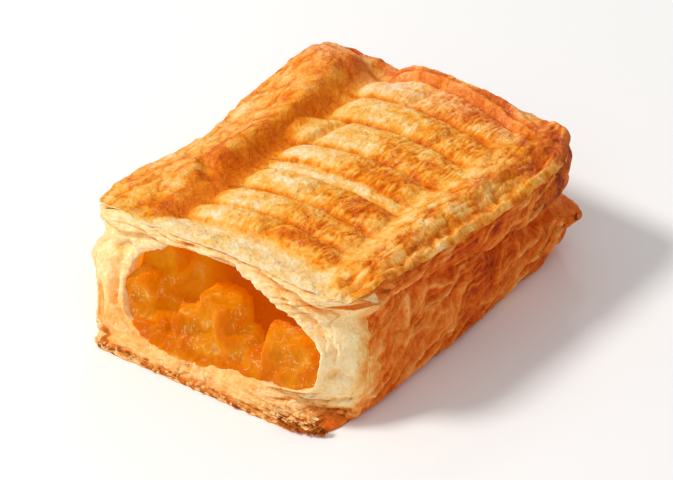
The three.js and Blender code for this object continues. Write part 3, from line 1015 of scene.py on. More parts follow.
@dataclass
class Lid:
    """The lid: a panel between swollen rims, with an edge that hangs over the walls.

    The panel has seven puffed slats, and a narrow bare strip between two of them.
    """

    form: PieForm
    bars: tuple[Bar, ...] = (
        Bar(-35.4, -34.6, -17.0, 23.5, 2.2, 4.5, 3.0, 0.25),
        Bar(-27.4, -26.4, -16.0, 23.0, 2.0, 5.0, 9.0, 0.2),
        Bar(-17.5, -17.0, -14.5, 23.0, 2.5, 4.0, 1.0, 0.3),
        Bar(-7.2, -6.4, -14.0, 21.0, 0.8, 5.0, 4.0, 0.2, True),
        Bar(-2.6, -1.3, -14.5, 21.0, 2.4, 6.0, 7.0, 0.3),
        Bar(6.5, 9.0, -19.0, 27.0, 2.4, 9.0, -12.3, 0.75),
        Bar(20.5, 21.5, -16.0, 28.0, 2.5, 10.0, 13.0, 0.5),
        Bar(34.0, 32.6, -17.5, 27.0, 2.4, 8.0, -2.5, 0.55),
    )
    back_groove: tuple[float, float] = (46.5, 42.8)
    bow: float = 3.0
    left_crest: tuple[tuple[float, float], ...] = (
        (-44, -34.0), (-30, -33.4), (-21, -31.0), (-16, -28.6), (-11, -25.8), (6, -25.0),
        (15, -24.4), (21, -25.0), (31, -26.8), (41, -27.6), (48, -25.0),
    )
    # Spots of browning; those along the foot of the left rim's inner slope, at x of about -20 to -27, are
    # painted shade there as well as a deeper brown.
    brown_and_shade_spots: tuple[Spot, ...] = (
        Spot(-30, 42, 9, 8, 0.04),
        Spot(-24, 36, 3.5, 7, 0.3),
        Spot(-29, 14, 4, 8, 0.06),
        Spot(-27, -14, 4, 7, 0.14),
        Spot(-38, 0, 4, 40, -0.1),
        Spot(-20, -25, 3.6, 7, 0.34),
        Spot(-20.5, -10, 3.6, 9, 0.42),
        Spot(-21, 6, 3.6, 9, 0.42),
        Spot(-22, 22, 3.6, 9, 0.4),
        Spot(14, 41, 8, 3.5, 0.22),
        Spot(15, 28, 9, 4, 0.12),
        Spot(16, 15, 10, 4.5, 0.18),
        Spot(12, 4, 9, 4, 0.18),
        Spot(15, -10, 7, 5, 0.3),
        Spot(12, -20, 12, 4, 0.18),
        Spot(12, -29, 14, 3.5, 0.3),
        Spot(8, 51.5, 22, 1.4, 0.1),
        Spot(34, 30, 4, 7, 0.1),
        Spot(33, 10, 3, 6, 0.14),
        Spot(31.5, -29, 4, 5, 0.04),
        Spot(33, -14, 3, 6, 0.16),
        Spot(37, 42, 8, 9, 0.36),
        Spot(-36, 44, 12, 12, 0.06),
        Spot(26, -16, 3.5, 15, -0.24),
        Spot(26, 10, 3.5, 10, -0.16),
        Spot(-23, -34, 4, 6, 0.34),
        Spot(-33, -36, 8, 9, -0.06),
        Spot(-25, -16, 3.0, 3.5, 0.1),
        Spot(38, 8, 4, 48, 0.08),
    )
    across: int = 290
    along: int = 322
    edge_start: float = 0.86
    corner_cut: tuple[float, float, float, float] = (0.05, 0.08, 0.12, 0.1)
    back_inset: float = 0.6
    soft_limit: float = 0.58
    soft_range: float = 0.2
    back_share: float = 0.84

    def plan(self, a: Array, b: Array) -> tuple[Array, Array]:
        """The plan place of two shares from -1 to 1, on a rectangle with rounded corners."""
        front_left, front_right, back_left, back_right = self.corner_cut
        right, back = (a + 1) / 2, (b + 1) / 2
        cut = lerp(lerp(front_left, front_right, right), lerp(back_left, back_right, right), back)
        u = a * (1 - cut * b**6)
        v = b * (1 - 0.8 * cut * a**6)
        form, depth = self.form, (v + 1) / 2
        rough_y = lerp(form.top_front, form.half_length, depth)
        x = u * form.wall_reach(np.where(u < 0, -1.0, 1.0), rough_y, np.ones_like(u))
        back_y = form.half_length - self.back_inset - form.back_bow * (x / form.half_width) ** 2
        torn = 0.9 * form.noise.layered(stack(x, 0, 3.0), 6, 3)
        return x, lerp(form.top_front + torn, back_y, depth)

    def grooves(self, x: Array) -> list[Array]:
        """The y of each groove at x, from the front one to the back one."""
        share = (x + 15) / 37
        bow = self.bow * np.clip(1 - ((x - 3) / 21) ** 2, -0.5, 1)
        lines = [(bar.front_left, bar.front_right) for bar in self.bars] + [self.back_groove]
        wander = [0.55 * self.form.noise.layered(stack(x, 7.0 * i, 9.0), 7, 2) for i in range(len(lines))]
        return [lerp(left, right, share) + bow + drift for (left, right), drift in zip(lines, wander)]

    def behind_panel(self, x: Array, y: Array) -> Array:
        """How far behind the last groove each place is."""
        return y - self.grooves(np.clip(x, -24, 30))[-1]

    def slats(self, x: Array, y: Array) -> dict[str, Array]:
        """The slats' rise, the share across each, the share along it and whether it is bare of glaze."""
        rise, bare = np.zeros_like(x), np.zeros_like(x)
        across, reach = np.full_like(x, 0.5), np.full_like(x, -1.0)
        lines = self.grooves(x)
        for bar, low, high in zip(self.bars, lines[:-1], lines[1:]):
            share = (y - low) / (high - low)
            inside = (share > 0) & (share < 1)
            within = clamp(share)
            round_end = 1 - np.sqrt(clamp(1 - (2 * within - 1) ** 2))
            start = clamp((x - bar.left + 2.0) / 7.5 - 0.5 * round_end)
            end = clamp((bar.right - x) / bar.fade - 0.7 * round_end)
            ends = np.sqrt(start * (2 - start)) * (end * (2 - end)) ** 0.8
            shifted = within**0.85
            back = clamp(4 * shifted * (1 - shifted)) ** 0.4
            dent = 1 - bar.dent_depth * bump(x, bar.dent + 2 * (within - 0.5), 1.3)
            rise = np.where(inside, 0.95 * bar.rise * back * ends * dent, rise)
            across = np.where(inside, within, across)
            reach = np.where(inside, (x - bar.left) / (bar.right - bar.left), reach)
            bare = np.where(inside & bar.bare & (ends > 0.1), 1.0, bare)
        return {"rise": rise, "across": across, "reach": np.clip(reach, -1, 2), "bare": bare}

    def rims(self, x: Array, y: Array) -> Array:
        """Height of the swollen rims on the left, the right and at the sealed end."""
        noise = self.form.noise
        started = lerp(0.45, 1.0, smooth(y, -50, -28))
        places, crests = np.array(self.left_crest).T
        crest = np.interp(y, places, crests) + 0.9 * noise.at(stack(x, y, 8.0), 7)
        steep = smooth(y, -22, -11)
        slope = np.where(x < crest, 10.0, lerp(7.5, 4.6, steep))
        left = bump(x, crest, slope) * lerp(3.9, 4.6, steep)
        left = left - 2.0 * bump(x + 0.5 * (y + 17), -25.0, 2.6) * bump(y, -17, 3.4)
        left = left * (1 - 0.8 * smooth(y + 0.25 * (x + 30), 43, 51))
        right_crest = 32.8 + 2.6 * fade(y, -40, -8) + 1.5 * smooth(y, 28, 44)
        right_crest = right_crest + 0.8 * noise.at(stack(9.0, y, 1.0), 10)
        right = 2.7 * bump(x, right_crest, np.where(x > right_crest, 4.2, 6.0))
        behind = self.behind_panel(x, y)
        folds = 2.3 * bump(behind, 1.8, 1.1) + (1.8 + 1.2 * bump(x, -13, 6)) * bump(behind, 5.0, 1.6)
        back = folds * smooth(x, -22, -10)
        return np.maximum(np.maximum(left * started, right * started), back)

    def blisters(
        self, x: Array, y: Array, on_slat: Array, to_right: Array, panel: Array
    ) -> tuple[Array, dict[str, Array]]:
        """The fine relief of the baked dough.

        Args:
            x: places across the lid.
            y: places along it.
            on_slat: how far up a slat each place is, from 0 to 1.
            to_right: how near it is to the slats' right ends, from 0 to 1.
            panel: 1 in the panel and 0 on the rims.

        Returns:
            The relief's height, and the numbers that the lid's colour takes from it, some as painted shade in
            its pits and painted light on its crests and puffs.
        """
        noise, off_panel = self.form.noise, 1 - panel
        flat = stack(x, y, 0.0)
        warp = noise.at(flat + 60, 9)[..., None] * np.array([3.0, 3.0, 0])
        small = stack(noise.at(flat + 500, 3.0), noise.at(flat + 530, 3.0), 0.0)
        puffs = noise.layered(flat + warp, 10, 3)
        lobes = noise.at(flat + 0.5 * warp + 120, (4.2, 9.0, 5.0))
        bubble, _, own = noise.cells(flat + 0.4 * warp, 3.0)
        bubbles = clamp(1 - 1.35 * bubble) * np.clip(2.2 * own - 0.6, 0, 1.4)
        first_puff, second, own_puff = noise.cells(flat + 0.6 * warp + 1.1 * small + 200, (2.1, 4.6, 5.0))
        parting = clamp(1 - 3.4 * (second - first_puff)) ** 1.2
        cross_fine = noise.ridged(flat + 0.35 * warp + 0.5 * small + 250, (1.35, 6.0, 5.0))
        creases = (0.4 * parting + 0.75 * cross_fine) * on_slat * (0.25 + 0.75 * to_right)
        long_right = noise.ridged(flat + 0.3 * warp + 0.6 * small + 400, (2.2, 12.0, 5.0))
        long_right = long_right * smooth(x, 26, 31)
        folds = noise.ridged(flat + warp + 300, (13.0, 9.0, 9.0)) * off_panel
        first_lump, second, own_lump = noise.cells(flat + 1.2 * warp + 1.2 * small + 350, (3.4, 8.5, 4.0))
        wrinkles = clamp(1 - 4.2 * (second - first_lump)) * off_panel * (0.2 + 0.8 * own_lump)
        streaks = noise.layered(flat + warp, (8.0, 2.6, 4.0), 3) * panel
        streaks = streaks + noise.layered(flat + warp, (2.8, 8.0, 4.0), 3) * off_panel
        leather = noise.layered(flat + 0.5 * small + 600, 1.7, 2)
        crests = clamp(1 - 1.5 * first_puff) * on_slat
        crests = crests + clamp(1 - 1.4 * first_lump) * off_panel
        relief = 0.45 * puffs + 0.22 * lobes * (on_slat + 0.9 * off_panel) + 0.1 * bubbles - 0.45 * creases
        relief = relief + 0.16 * (own_puff - 0.5) * on_slat + 0.3 * (own_lump - 0.5) * off_panel
        relief = relief + 0.6 * folds - 0.4 * long_right - 0.38 * wrinkles + 0.16 * leather
        return relief, {
            "pits": clamp(creases + 0.6 * wrinkles + 0.7 * long_right),
            "crests": crests,
            "bubbles": bubbles,
            "puffs": puffs,
            "leather": leather,
            "streaks": streaks,
            "lumps": (own_lump - 0.5) * off_panel + (own_puff - 0.5) * on_slat,
        }

    def height(self, x: Array, y: Array) -> tuple[Array, dict[str, Array]]:
        """Height of the lid's upper face, and the numbers that its colour needs."""
        form = self.form
        slats, rims = self.slats(x, y), self.rims(x, y)
        on_slat, to_right = clamp(slats["rise"] / 1.6), smooth(slats["reach"], 0.1, 0.7)
        in_panel = smooth(y, -42, -35) * fade(y, 45, 50)
        panel = smooth(x, -25, -18) * fade(x, 22, 29) * in_panel
        shoulder = 0.9 * bump(x, 25, 5) * in_panel
        trough = smooth(x, -26, -22) * fade(x, -17.5, -15) * in_panel
        at_front = fade(y - form.top_front, 0.6, 3.0)
        behind, past_rim = self.behind_panel(x, y), smooth(x, -22, -10)
        at_back = smooth(behind, -0.5, 1.5) * past_rim
        calm = clamp(trough + at_front + 0.2 * at_back)
        fall = 2.0 * smooth(y, 50.5, form.half_length + 0.5)
        base = form.edge_height + form.dome(x) + rims + added(SWELLS, x, y) - fall
        base = base - form.torn_drop(x, y) - 1.5 * panel + shoulder
        relief, marks = self.blisters(x, y, on_slat, to_right, panel)
        marks |= {
            "rims": clamp(rims / 3.5),
            "panel": panel,
            "slat": on_slat,
            "to_right": to_right,
            "across": slats["across"],
            "bare": slats["bare"],
            "calm": calm,
            "at_back": at_back,
            "fold": (bump(behind, 3.4, 0.7) + 0.6 * bump(behind, 0.2, 0.7)) * past_rim,
        }
        return base + slats["rise"] + relief * (1 - 0.6 * calm), marks

    def bake(self, x: Array, y: Array, marks: dict[str, Array]) -> Array:
        """How brown each place of the lid is, from 0 for cream to 1 for the darkest crust, with painted shade
        in its grooves and pits and painted light on its crests, puffs and the slats' front flanks.
        """
        noise = self.form.noise
        spot_brown_and_shade = added(self.brown_and_shade_spots, x, y)
        # Painted shade and light that follow the relief: darker in the grooves between the slats, in the pits
        # and in the back grooves (fold), paler on the crests, puffs and bubbles and on the slats' front
        # flanks.
        groove = smooth(np.abs(marks["across"] - 0.5), 0.36, 0.5)
        front_flank = smooth(0.5 - marks["across"], 0.0, 0.4) * marks["slat"]
        patches = noise.layered(stack(x, y, 9.0), 7, 3)
        brown = 0.43 + 0.14 * marks["slat"] * marks["to_right"] - 0.22 * marks["slat"] - 0.02 * marks["rims"]
        brown = brown + 0.9 * spot_brown_and_shade + 0.14 * patches - 0.06 * marks["bubbles"] - 0.06 * front_flank
        brown = brown + 0.34 * marks["pits"] - 0.1 * marks["crests"] + 0.22 * groove * marks["panel"]
        to_left, to_far_right = fade(x, -27, -23), smooth(x, 27, 31)
        brown = brown + 0.07 * to_left * smooth(y, -46, -36)
        blotches = noise.layered(stack(x, y, 70.0), 3.6, 3)
        brown = brown + to_far_right * (0.34 * blotches - 0.09)
        brown = brown + 0.1 * marks["at_back"] + 0.3 * marks["fold"] - 0.2 * marks["bare"]
        brown = brown - 0.14 * marks["puffs"] + 0.2 * marks["streaks"] + 0.12 * marks["lumps"]
        over = np.maximum(brown - self.soft_limit, 0) / self.soft_range
        brown = np.minimum(brown, self.soft_limit) + self.soft_range * np.tanh(over)
        first_groove = self.grooves(np.clip(x, -20, 26))[0]
        reach = lerp(-46.0, first_groove - 0.8, smooth(x, -27, -17)) - 5.5 * smooth(x, 25, 32)
        front = fade(y + 2.4 * noise.layered(stack(x, y, 2.0), 6, 2) - reach, -2.4, 2.6)
        # The pale front also darkens in the pits, as painted shade.
        pale = 0.1 + 0.1 * marks["pits"] + 0.14 * patches + 0.12 * marks["streaks"] + 0.1 * marks["leather"]
        return lerp(brown, pale, 0.95 * front)

    def band_height(self, a: Array, b: Array, y: Array) -> Array:
        """How far the lid's edge hangs down: a little at the break, more towards the sealed end."""
        right = lerp(2.7, 13.0, smooth(y, -38, 46) ** 1.1)
        left = lerp(4.0, 8.5, smooth(y, -30, 40))
        back = lerp(9.0, 13.0, (a + 1) / 2)
        side = np.where(a > 0, right, left)
        ends = np.where(b > 0, back, 0.6)
        return lerp(side, ends, smooth(np.abs(b) - np.abs(a), -0.12, 0.12))

    def outward(self, a: Array, b: Array) -> tuple[Array, Array]:
        """The plan direction out of the lid at its edge, across the line to the next places round it."""
        nudge = 0.01
        on_side = np.abs(a) >= np.abs(b)
        ahead = np.where(on_side, np.sign(a), -np.sign(b)) * nudge
        next_a, next_b = np.where(on_side, a, a + ahead), np.where(on_side, b + ahead, b)
        past_a, past_b = np.where(on_side, a, a - ahead), np.where(on_side, b - ahead, b)
        x1, y1 = self.plan(np.clip(next_a, -1, 1), np.clip(next_b, -1, 1))
        x0, y0 = self.plan(np.clip(past_a, -1, 1), np.clip(past_b, -1, 1))
        length = np.maximum(np.hypot(x1 - x0, y1 - y0), TINY)
        return (y1 - y0) / length, (x0 - x1) / length

    def hanging(self, x: Array, y: Array, down: Array, band: Array, at_break: Array) -> tuple[Array, ...]:
        """The shape of the edge that hangs over the walls.

        Args:
            x: places across the lid.
            y: places along it.
            down: 0 at the top of the edge to 1 at its foot.
            band: how far the edge hangs down.
            at_break: 1 where the edge is torn through, and 0 elsewhere.

        Returns:
            How far it stands out, its coarse noise, and its thin layers.
        """
        noise = self.form.noise
        puffed = smooth(y, -5, 45) * (1 - at_break)
        coarse = noise.layered(stack(x, y, 20 * down), (9, 9, 5), 3)
        layers = noise.layered(stack(x, y, down * band + 2), (22, 22, 1.3), 2)
        crumb, _, own = noise.cells(stack(x, 0.3 * y, 1.2 * y - down * band), 1.5)
        crumbly = 0.4 * clamp(1 - 1.2 * crumb) * (0.3 + own)
        crumbly = crumbly + 0.4 * noise.layered(stack(x, 2.0, down * band), 3.5, 2)
        out = 0.8 * bump(down, 0.06, 0.07) + 1.3 * puffed * np.sin(math.pi * down) ** 0.8
        out = out + crumbly * at_break * smooth(down, 0.0, 0.2)
        out = out + 1.3 * smooth(x, 25, 36) * smooth(y, 22, 38) * bump(down, 0.5, 0.35)
        out = out - 0.5 * smooth(down, 0.08, 0.2) * (1 - at_break) - 2.4 * smooth(down, 0.84, 1.0)
        out = out + 0.5 * coarse * smooth(down, 0.1, 0.3) + 0.5 * layers * smooth(down, 0.1, 0.2)
        return out, coarse, layers

    def rosiness(self, x: Array, y: Array, down: Array) -> Array:
        """How red the browning is: most on the edge, the rims' outsides and the back."""
        rosy = 0.35 * fade(x, -28, -24) + 0.24 * smooth(x, 26, 31) + 0.95 * smooth(y, 30, 47) + down
        rosy = rosy * np.clip(0.8 + 1.1 * self.form.noise.layered(stack(x, y, 50.0), 7, 2), 0.2, 1.4)
        return rosy * smooth(y, -40, -25)

    def build(self) -> Piece:
        """Models the lid as one closed slab.

        Returns:
            The lid, whose marks are bake, glaze, rosy and calm.
        """
        form, noise = self.form, self.form.noise
        piece, share_x, share_y = sheet_grid("lid", self.across, self.along)
        a, b = 2 * share_x - 1, 2 * share_y - 1
        ring = np.maximum(np.abs(a), np.abs(b))
        pull = np.minimum(1 / self.edge_start, 1 / np.maximum(ring, TINY))
        x, y = self.plan(a * pull, b * pull)
        z, marks = self.height(x, y)
        down = clamp((ring - self.edge_start) / (1 - self.edge_start))
        edge_a, edge_b = a / np.maximum(ring, TINY), b / np.maximum(ring, TINY)
        outward_x, outward_y = self.outward(edge_a, edge_b)
        at_break, on_top = smooth(-edge_b, 0.985, 0.999), down <= 0
        band = self.band_height(edge_a, edge_b, y)
        from_edge = form.half_width * (1 - np.minimum(ring / self.edge_start, 1.0))
        from_edge = from_edge + 0.5 * noise.at(stack(x, y, 7.0), 5)
        on_right = smooth(x, 28, 33) * (1 - at_break)
        lip = np.clip(0.7 + 1.0 * noise.layered(stack(x, y, 30.0), 8, 2), 0.1, 1.3) * on_right
        crisp = (0.8 * bump(from_edge, 0.8, 0.7) - 0.45 * bump(from_edge, 2.9, 1.3)) * lip
        out, coarse, layers = self.hanging(x, y, down, band, at_break)
        z = z + crisp - band * down**0.9 * (1 + 0.1 * coarse)
        x, y = x + outward_x * out, y + outward_y * out
        lay(piece, stack(x, y, z))
        right_tone = 0.14 * smooth(y, 20, 42) - 0.16 * fade(y, -42, -22)
        edge_brown = 0.76 + 0.12 * coarse - 0.2 * layers + right_tone * smooth(x, 28, 36)
        brown = lerp(self.bake(x, y, marks), edge_brown, smooth(down, 0.03, 0.2))
        golden = bump(from_edge, 0.9, 0.6) * lip * on_top * fade(y, 22, 38)
        # The last term darkens the groove behind the right lip, as painted shade.
        brown = lerp(brown, 0.36, 0.6 * golden) + 0.12 * bump(from_edge, 3.0, 1.4) * on_right * on_top
        brown = np.where(on_top, brown, lerp(brown, 0.06 + 0.12 * coarse, at_break))
        # This mark lowers the crust's roughness and also gates its painted glints.
        glaze = (0.3 + 0.7 * smooth(brown, 0.2, 0.5)) * fade(down, 0.0, 0.2) * (1 - marks["bare"])
        rosy = self.rosiness(x, y, down) * (1 - 0.6 * golden)
        points = coordinates(piece) / MM
        under = stack(*(self.back_share * points[:, :2].T), form.edge_height + 0.4)
        marks = {"bake": brown, "glaze": glaze, "rosy": rosy, "calm": marks["calm"] * on_top}
        return close_sheet(piece, under, marks)


# ---------------- the walls and the base


@dataclass
class Folds:
    """The thin crumpled layers that drape the walls."""

    form: PieForm
    rise: float = 0.34

    def relief(self, points: Array) -> tuple[Array, Array]:
        """How far the layers stand out, and how much paler than the rest they are, as painted light on the
        folds and painted shade in their hollows.

        Args:
            points: places on the plain wall.

        Returns:
            The height, and a share from 0 in the hollows to about 1 on the folds.
        """
        noise = self.form.noise
        base = points - stack(0, 0, self.rise * (points[..., 1] + points[..., 0]))
        warp = stack(0, 4.5 * noise.at(base + 11, 14), 3.4 * noise.at(base + 51, (11, 11, 9)))
        warp = warp + stack(0, 1.5 * noise.at(base + 91, 4), 1.1 * noise.at(base + 131, 4))
        place = base + warp
        folds = self.crests(noise.at(place, (14, 15, 4.6)), 3.4)
        thin = self.crests(noise.at(place + 140, (7, 8, 2.3)), 3.0)
        cross = self.crests(noise.at(place + 170, (6, 5, 9)), 3.6)
        layer = place[..., 2] / 4.3 + 0.4 * noise.at(place + 300, 9)
        own = np.floor(layer)
        where = stack(points[..., 0], points[..., 1], 17.3 * own)
        strength = clamp(0.5 + 1.2 * noise.at(where, (9, 10, 5)))
        leaf = strength * (layer - own) ** 2
        crinkle = noise.layered(place + 200, (4, 5, 1.6), 3)
        height = 0.85 * folds + 0.4 * thin + 0.35 * cross + 0.9 * leaf + 0.35 * crinkle - 0.5
        pale = 0.55 * folds + 0.3 * thin + 0.25 * cross + 0.5 * leaf**2 + 0.15 * crinkle
        return height, np.clip(pale, -0.2, 1.1)

    @staticmethod
    def crests(values: Array, sharpness: float) -> Array:
        """Sharp crests of height 1 where the values pass 0."""
        return clamp(1 - sharpness * np.abs(values)) ** 1.3

    def bake(self, points: Array, pale: Array) -> Array:
        """How brown each place on the walls is, with painted light and shade from the folds and painted shade
        in the middle of the right wall.
        """
        noise = self.form.noise
        x, y, z = np.moveaxis(points, -1, 0)
        patches = noise.layered(points + 5, 9, 3)
        base_line = fade(z + 0.5 * noise.at(points, 3), 0.7, 2.0)
        # The pale share is painted light on the folds and painted shade in their hollows.
        brown = 0.77 + 0.1 * patches - 0.44 * pale + 0.12 * base_line
        on_right = smooth(x, 20, 34)
        # Darker in the middle of the right wall, as painted shade; paler high up near its front.
        brown = brown + on_right * (0.13 * bump(y, 8, 11) - 0.14 * bump(y, -32, 7) * smooth(z, 13, 20))
        brown = brown - 0.2 * on_right * fade(y - self.form.torn_y(x, z), 1.0, 9.0)
        crisp_corner = 0.42 * fade(z, 2.5, 6.0) * on_right
        torn = self.form.torn_share(points) * (1 - 0.6 * base_line)
        return lerp(brown, 0.1 + 0.06 * patches + crisp_corner, torn)


@dataclass
class Drape:
    """The finely folded skin of one long wall."""

    form: PieForm
    folds: Folds
    name: str
    side: float
    along: int = 330
    up: int = 130
    out: float = 0.9
    step: float = 0.004
    reach: float = 0.985
    slab: float = 4.6
    thin_slab: float = 0.7

    def change(self, along: Array, up: Array, step_along: float, step_up: float) -> Array:
        """How the plain wall's places change over a small step to either side."""
        after = self.form.wall_point(self.side, along + step_along, up + step_up)
        return after - self.form.wall_point(self.side, along - step_along, up - step_up)

    def build(self) -> Piece:
        """Models the skin as a closed slab whose border is tucked into the case.

        Returns:
            The skin, whose marks are bake and glaze.
        """
        form, noise = self.form, self.form.noise
        piece, share_y, share_z = sheet_grid(self.name, self.along, self.up)
        along, up = self.reach * share_y, lerp(0.012, self.reach, share_z)
        points = form.wall_point(self.side, along, up)
        ahead = self.change(along, up, self.step, 0.0)
        above = self.change(along, up, 0.0, 2.5 * self.step)
        outward = directions(self.side * np.cross(ahead, above))
        height, pale = self.folds.relief(points)
        low = smooth(points[..., 2], 0.3, 5.0)
        at_break = fade(share_y, 0.0, 0.05)
        strands = noise.layered(points + 60, (9, 30, 1.15), 2)
        under_lid = smooth(up, 0.72, 0.9) * fade(share_y, 0.6, 0.8)
        height = lerp(height, 0.5 * height + 0.6 * strands, under_lid)
        from_ends = np.minimum(share_y, 1 - share_y) * self.along
        tucked = smooth(np.minimum(from_ends, np.minimum(share_z, 1 - share_z) * self.up), 0.0, 3.0)
        proud = 0.5 - 0.4 * smooth(share_y, 0.78, 1.0)
        rise = self.out * height * (0.25 + 0.75 * low) * (1 - 0.5 * at_break) + proud
        # The strands' rises are painted paler, as painted light; the left wall, lit by the key light, is
        # painted 0.1 paler than the shaded right wall.
        brown = self.folds.bake(points, pale + 0.5 * strands * under_lid) - 0.1 * (self.side < 0)
        points = points + outward * (lerp(-1.0, rise, tucked))[:, None]
        ragged = 1.2 * noise.layered(points + 15, 2.6, 3) - 0.6
        points[:, 1] += ragged * at_break
        lay(piece, points)
        on_flap = clamp(3 * form.flap(up)) * smooth(share_y, 0.75, 0.9)
        under = points - lerp(self.slab, self.thin_slab, on_flap)[:, None] * outward
        return close_sheet(piece, under, {"bake": brown, "glaze": np.full(len(brown), 0.3)})


@dataclass
class Case:
    """The walls, the base and the sealed end, in one skin round the hollow."""

    form: PieForm
    folds: Folds
    columns: tuple[int, int, int] = (70, 60, 30)
    rows: int = 200
    row_spacing: float = 0.94
    back_rows: int = 60
    hollow_rows: int = 14
    sink: float = 1.6
    standing_out: float = 0.5
    far_y: float = 43.0
    end_folds_y: float = 62.0
    cream: float = 0.12

    def build(self) -> Piece:
        """Models the case.

        Returns:
            The case, whose marks are bake and glaze.
        """
        form, noise = self.form, self.form.noise
        along = 1 - np.linspace(0, 1, self.rows) ** self.row_spacing
        outer = np.stack([form.ring(self.columns, place) for place in along])
        base, wall, top = self.columns
        outer[:, base + wall : base + wall + top, 2] -= self.sink
        section = np.concatenate([np.zeros(base), np.ones(wall), np.zeros(top), np.ones(wall)])
        normals = grid_normals(outer)
        height, pale = self.folds.relief(outer)
        climb = clamp(outer[..., 2] / form.edge_height)
        on_wall = section[None] * smooth(climb, 0.0, 0.1)
        outer += normals * ((height - 0.2) * on_wall)[..., None] * self.standing_out
        ragged = 0.9 * noise.layered(outer + 15, 3.0, 3) * fade(along, 0, 0.03)[:, None]
        outer[..., 1] += ragged
        back, back_pale = self.back_cap(outer[0])
        front = self.inner_rows(outer[-1], normals[-1])
        grid = np.concatenate([back, outer, front])
        pales = np.concatenate([back_pale, pale * on_wall, np.zeros(front.shape[:2])])
        brown = self.folds.bake(grid, pales)
        turned_in = len(back) + len(outer)
        crisp_corner = 0.5 * fade(front[..., 2], 3.0, 7.0) * smooth(front[..., 0], 20, 32)
        brown[turned_in:] = self.cream + crisp_corner
        return skin("case", grid, {"bake": brown, "glaze": np.full(grid.shape[:2], 0.25)})

    def back_cap(self, edge: Array) -> tuple[Array, Array]:
        """Rows over the sealed end, from its middle to the first ring, and how pale each place is."""
        form = self.form
        shares = np.sin(0.5 * math.pi * np.arange(self.back_rows) / self.back_rows)
        rows, pales = [], []
        for share in shares:
            x = edge[:, 0] * share
            z = lerp(0.5 * form.edge_height, edge[:, 2], share)
            climb = z / form.edge_height
            waist = 1.9 * bump(climb, 0.52, 0.1) + 2.0 * smooth(climb, 0.62, 0.78)
            height, pale = self.folds.relief(stack(x, self.end_folds_y, z))
            face = form.half_length - waist + 0.8 * height * smooth(z, 0.3, 4)
            rows.append(stack(x, lerp(edge[:, 1], face, math.sqrt(1 - share**6)), z))
            pales.append(pale)
        rows[0][:] = rows[0].mean(axis=0)
        return np.stack(rows), np.stack(pales)

    def inner_rows(self, edge: Array, outward: Array) -> Array:
        """Rows that turn the skin's torn edge in, and run into the hollow and to its far end."""
        form = self.form
        angle = np.arctan2(edge[:, 2] - form.middle_z, edge[:, 0])
        turned_in = ((0.5, -0.15), (1.0, 0.5), (1.3, 3.0))
        rows = [edge - inset * outward + stack(0, back, 0) for inset, back in turned_in]
        mouth = form.hollow(angle, np.full(len(edge), -form.half_length), -1.6)
        mouth[:, 1] = form.broken_front(mouth[:, 2]) + 6.0
        rows.append(lerp(rows[-1], mouth, 0.5))
        for share in np.linspace(0, 1, self.hollow_rows):
            y = lerp(mouth[:, 1], self.far_y - 2.0, share)
            rows.append(form.hollow(angle, y, -1.0))
        middle = np.array([0.0, self.far_y, form.middle_z])
        rows.append(lerp(rows[-1], middle, 0.5))
        rows.append(np.tile(middle, (len(edge), 1)))
        return np.stack(rows)


# ---------------- the broken end


@dataclass(frozen=True)
class Pocket:
    """A gap between the layers of the torn ring: its middle, its half length and width, slope and depth, and
    the painted shade inside it.
    """

    x: float
    z: float
    length: float
    width: float
    slope: float
    depth: float
    # How much darker the inside of the gap is painted, as painted shade.
    brown: float = 0.28

    def share(self, points: Array) -> Array:
        """How deep in the pocket each place is, from 0 to 1."""
        turn = math.radians(self.slope)
        right, up = points[..., 0] - self.x, points[..., 2] - self.z
        along = right * math.cos(turn) + up * math.sin(turn)
        across = up * math.cos(turn) - right * math.sin(turn)
        return bump(along, 0, self.length) * fade(np.abs(across) / self.width, 0.55, 1.35)


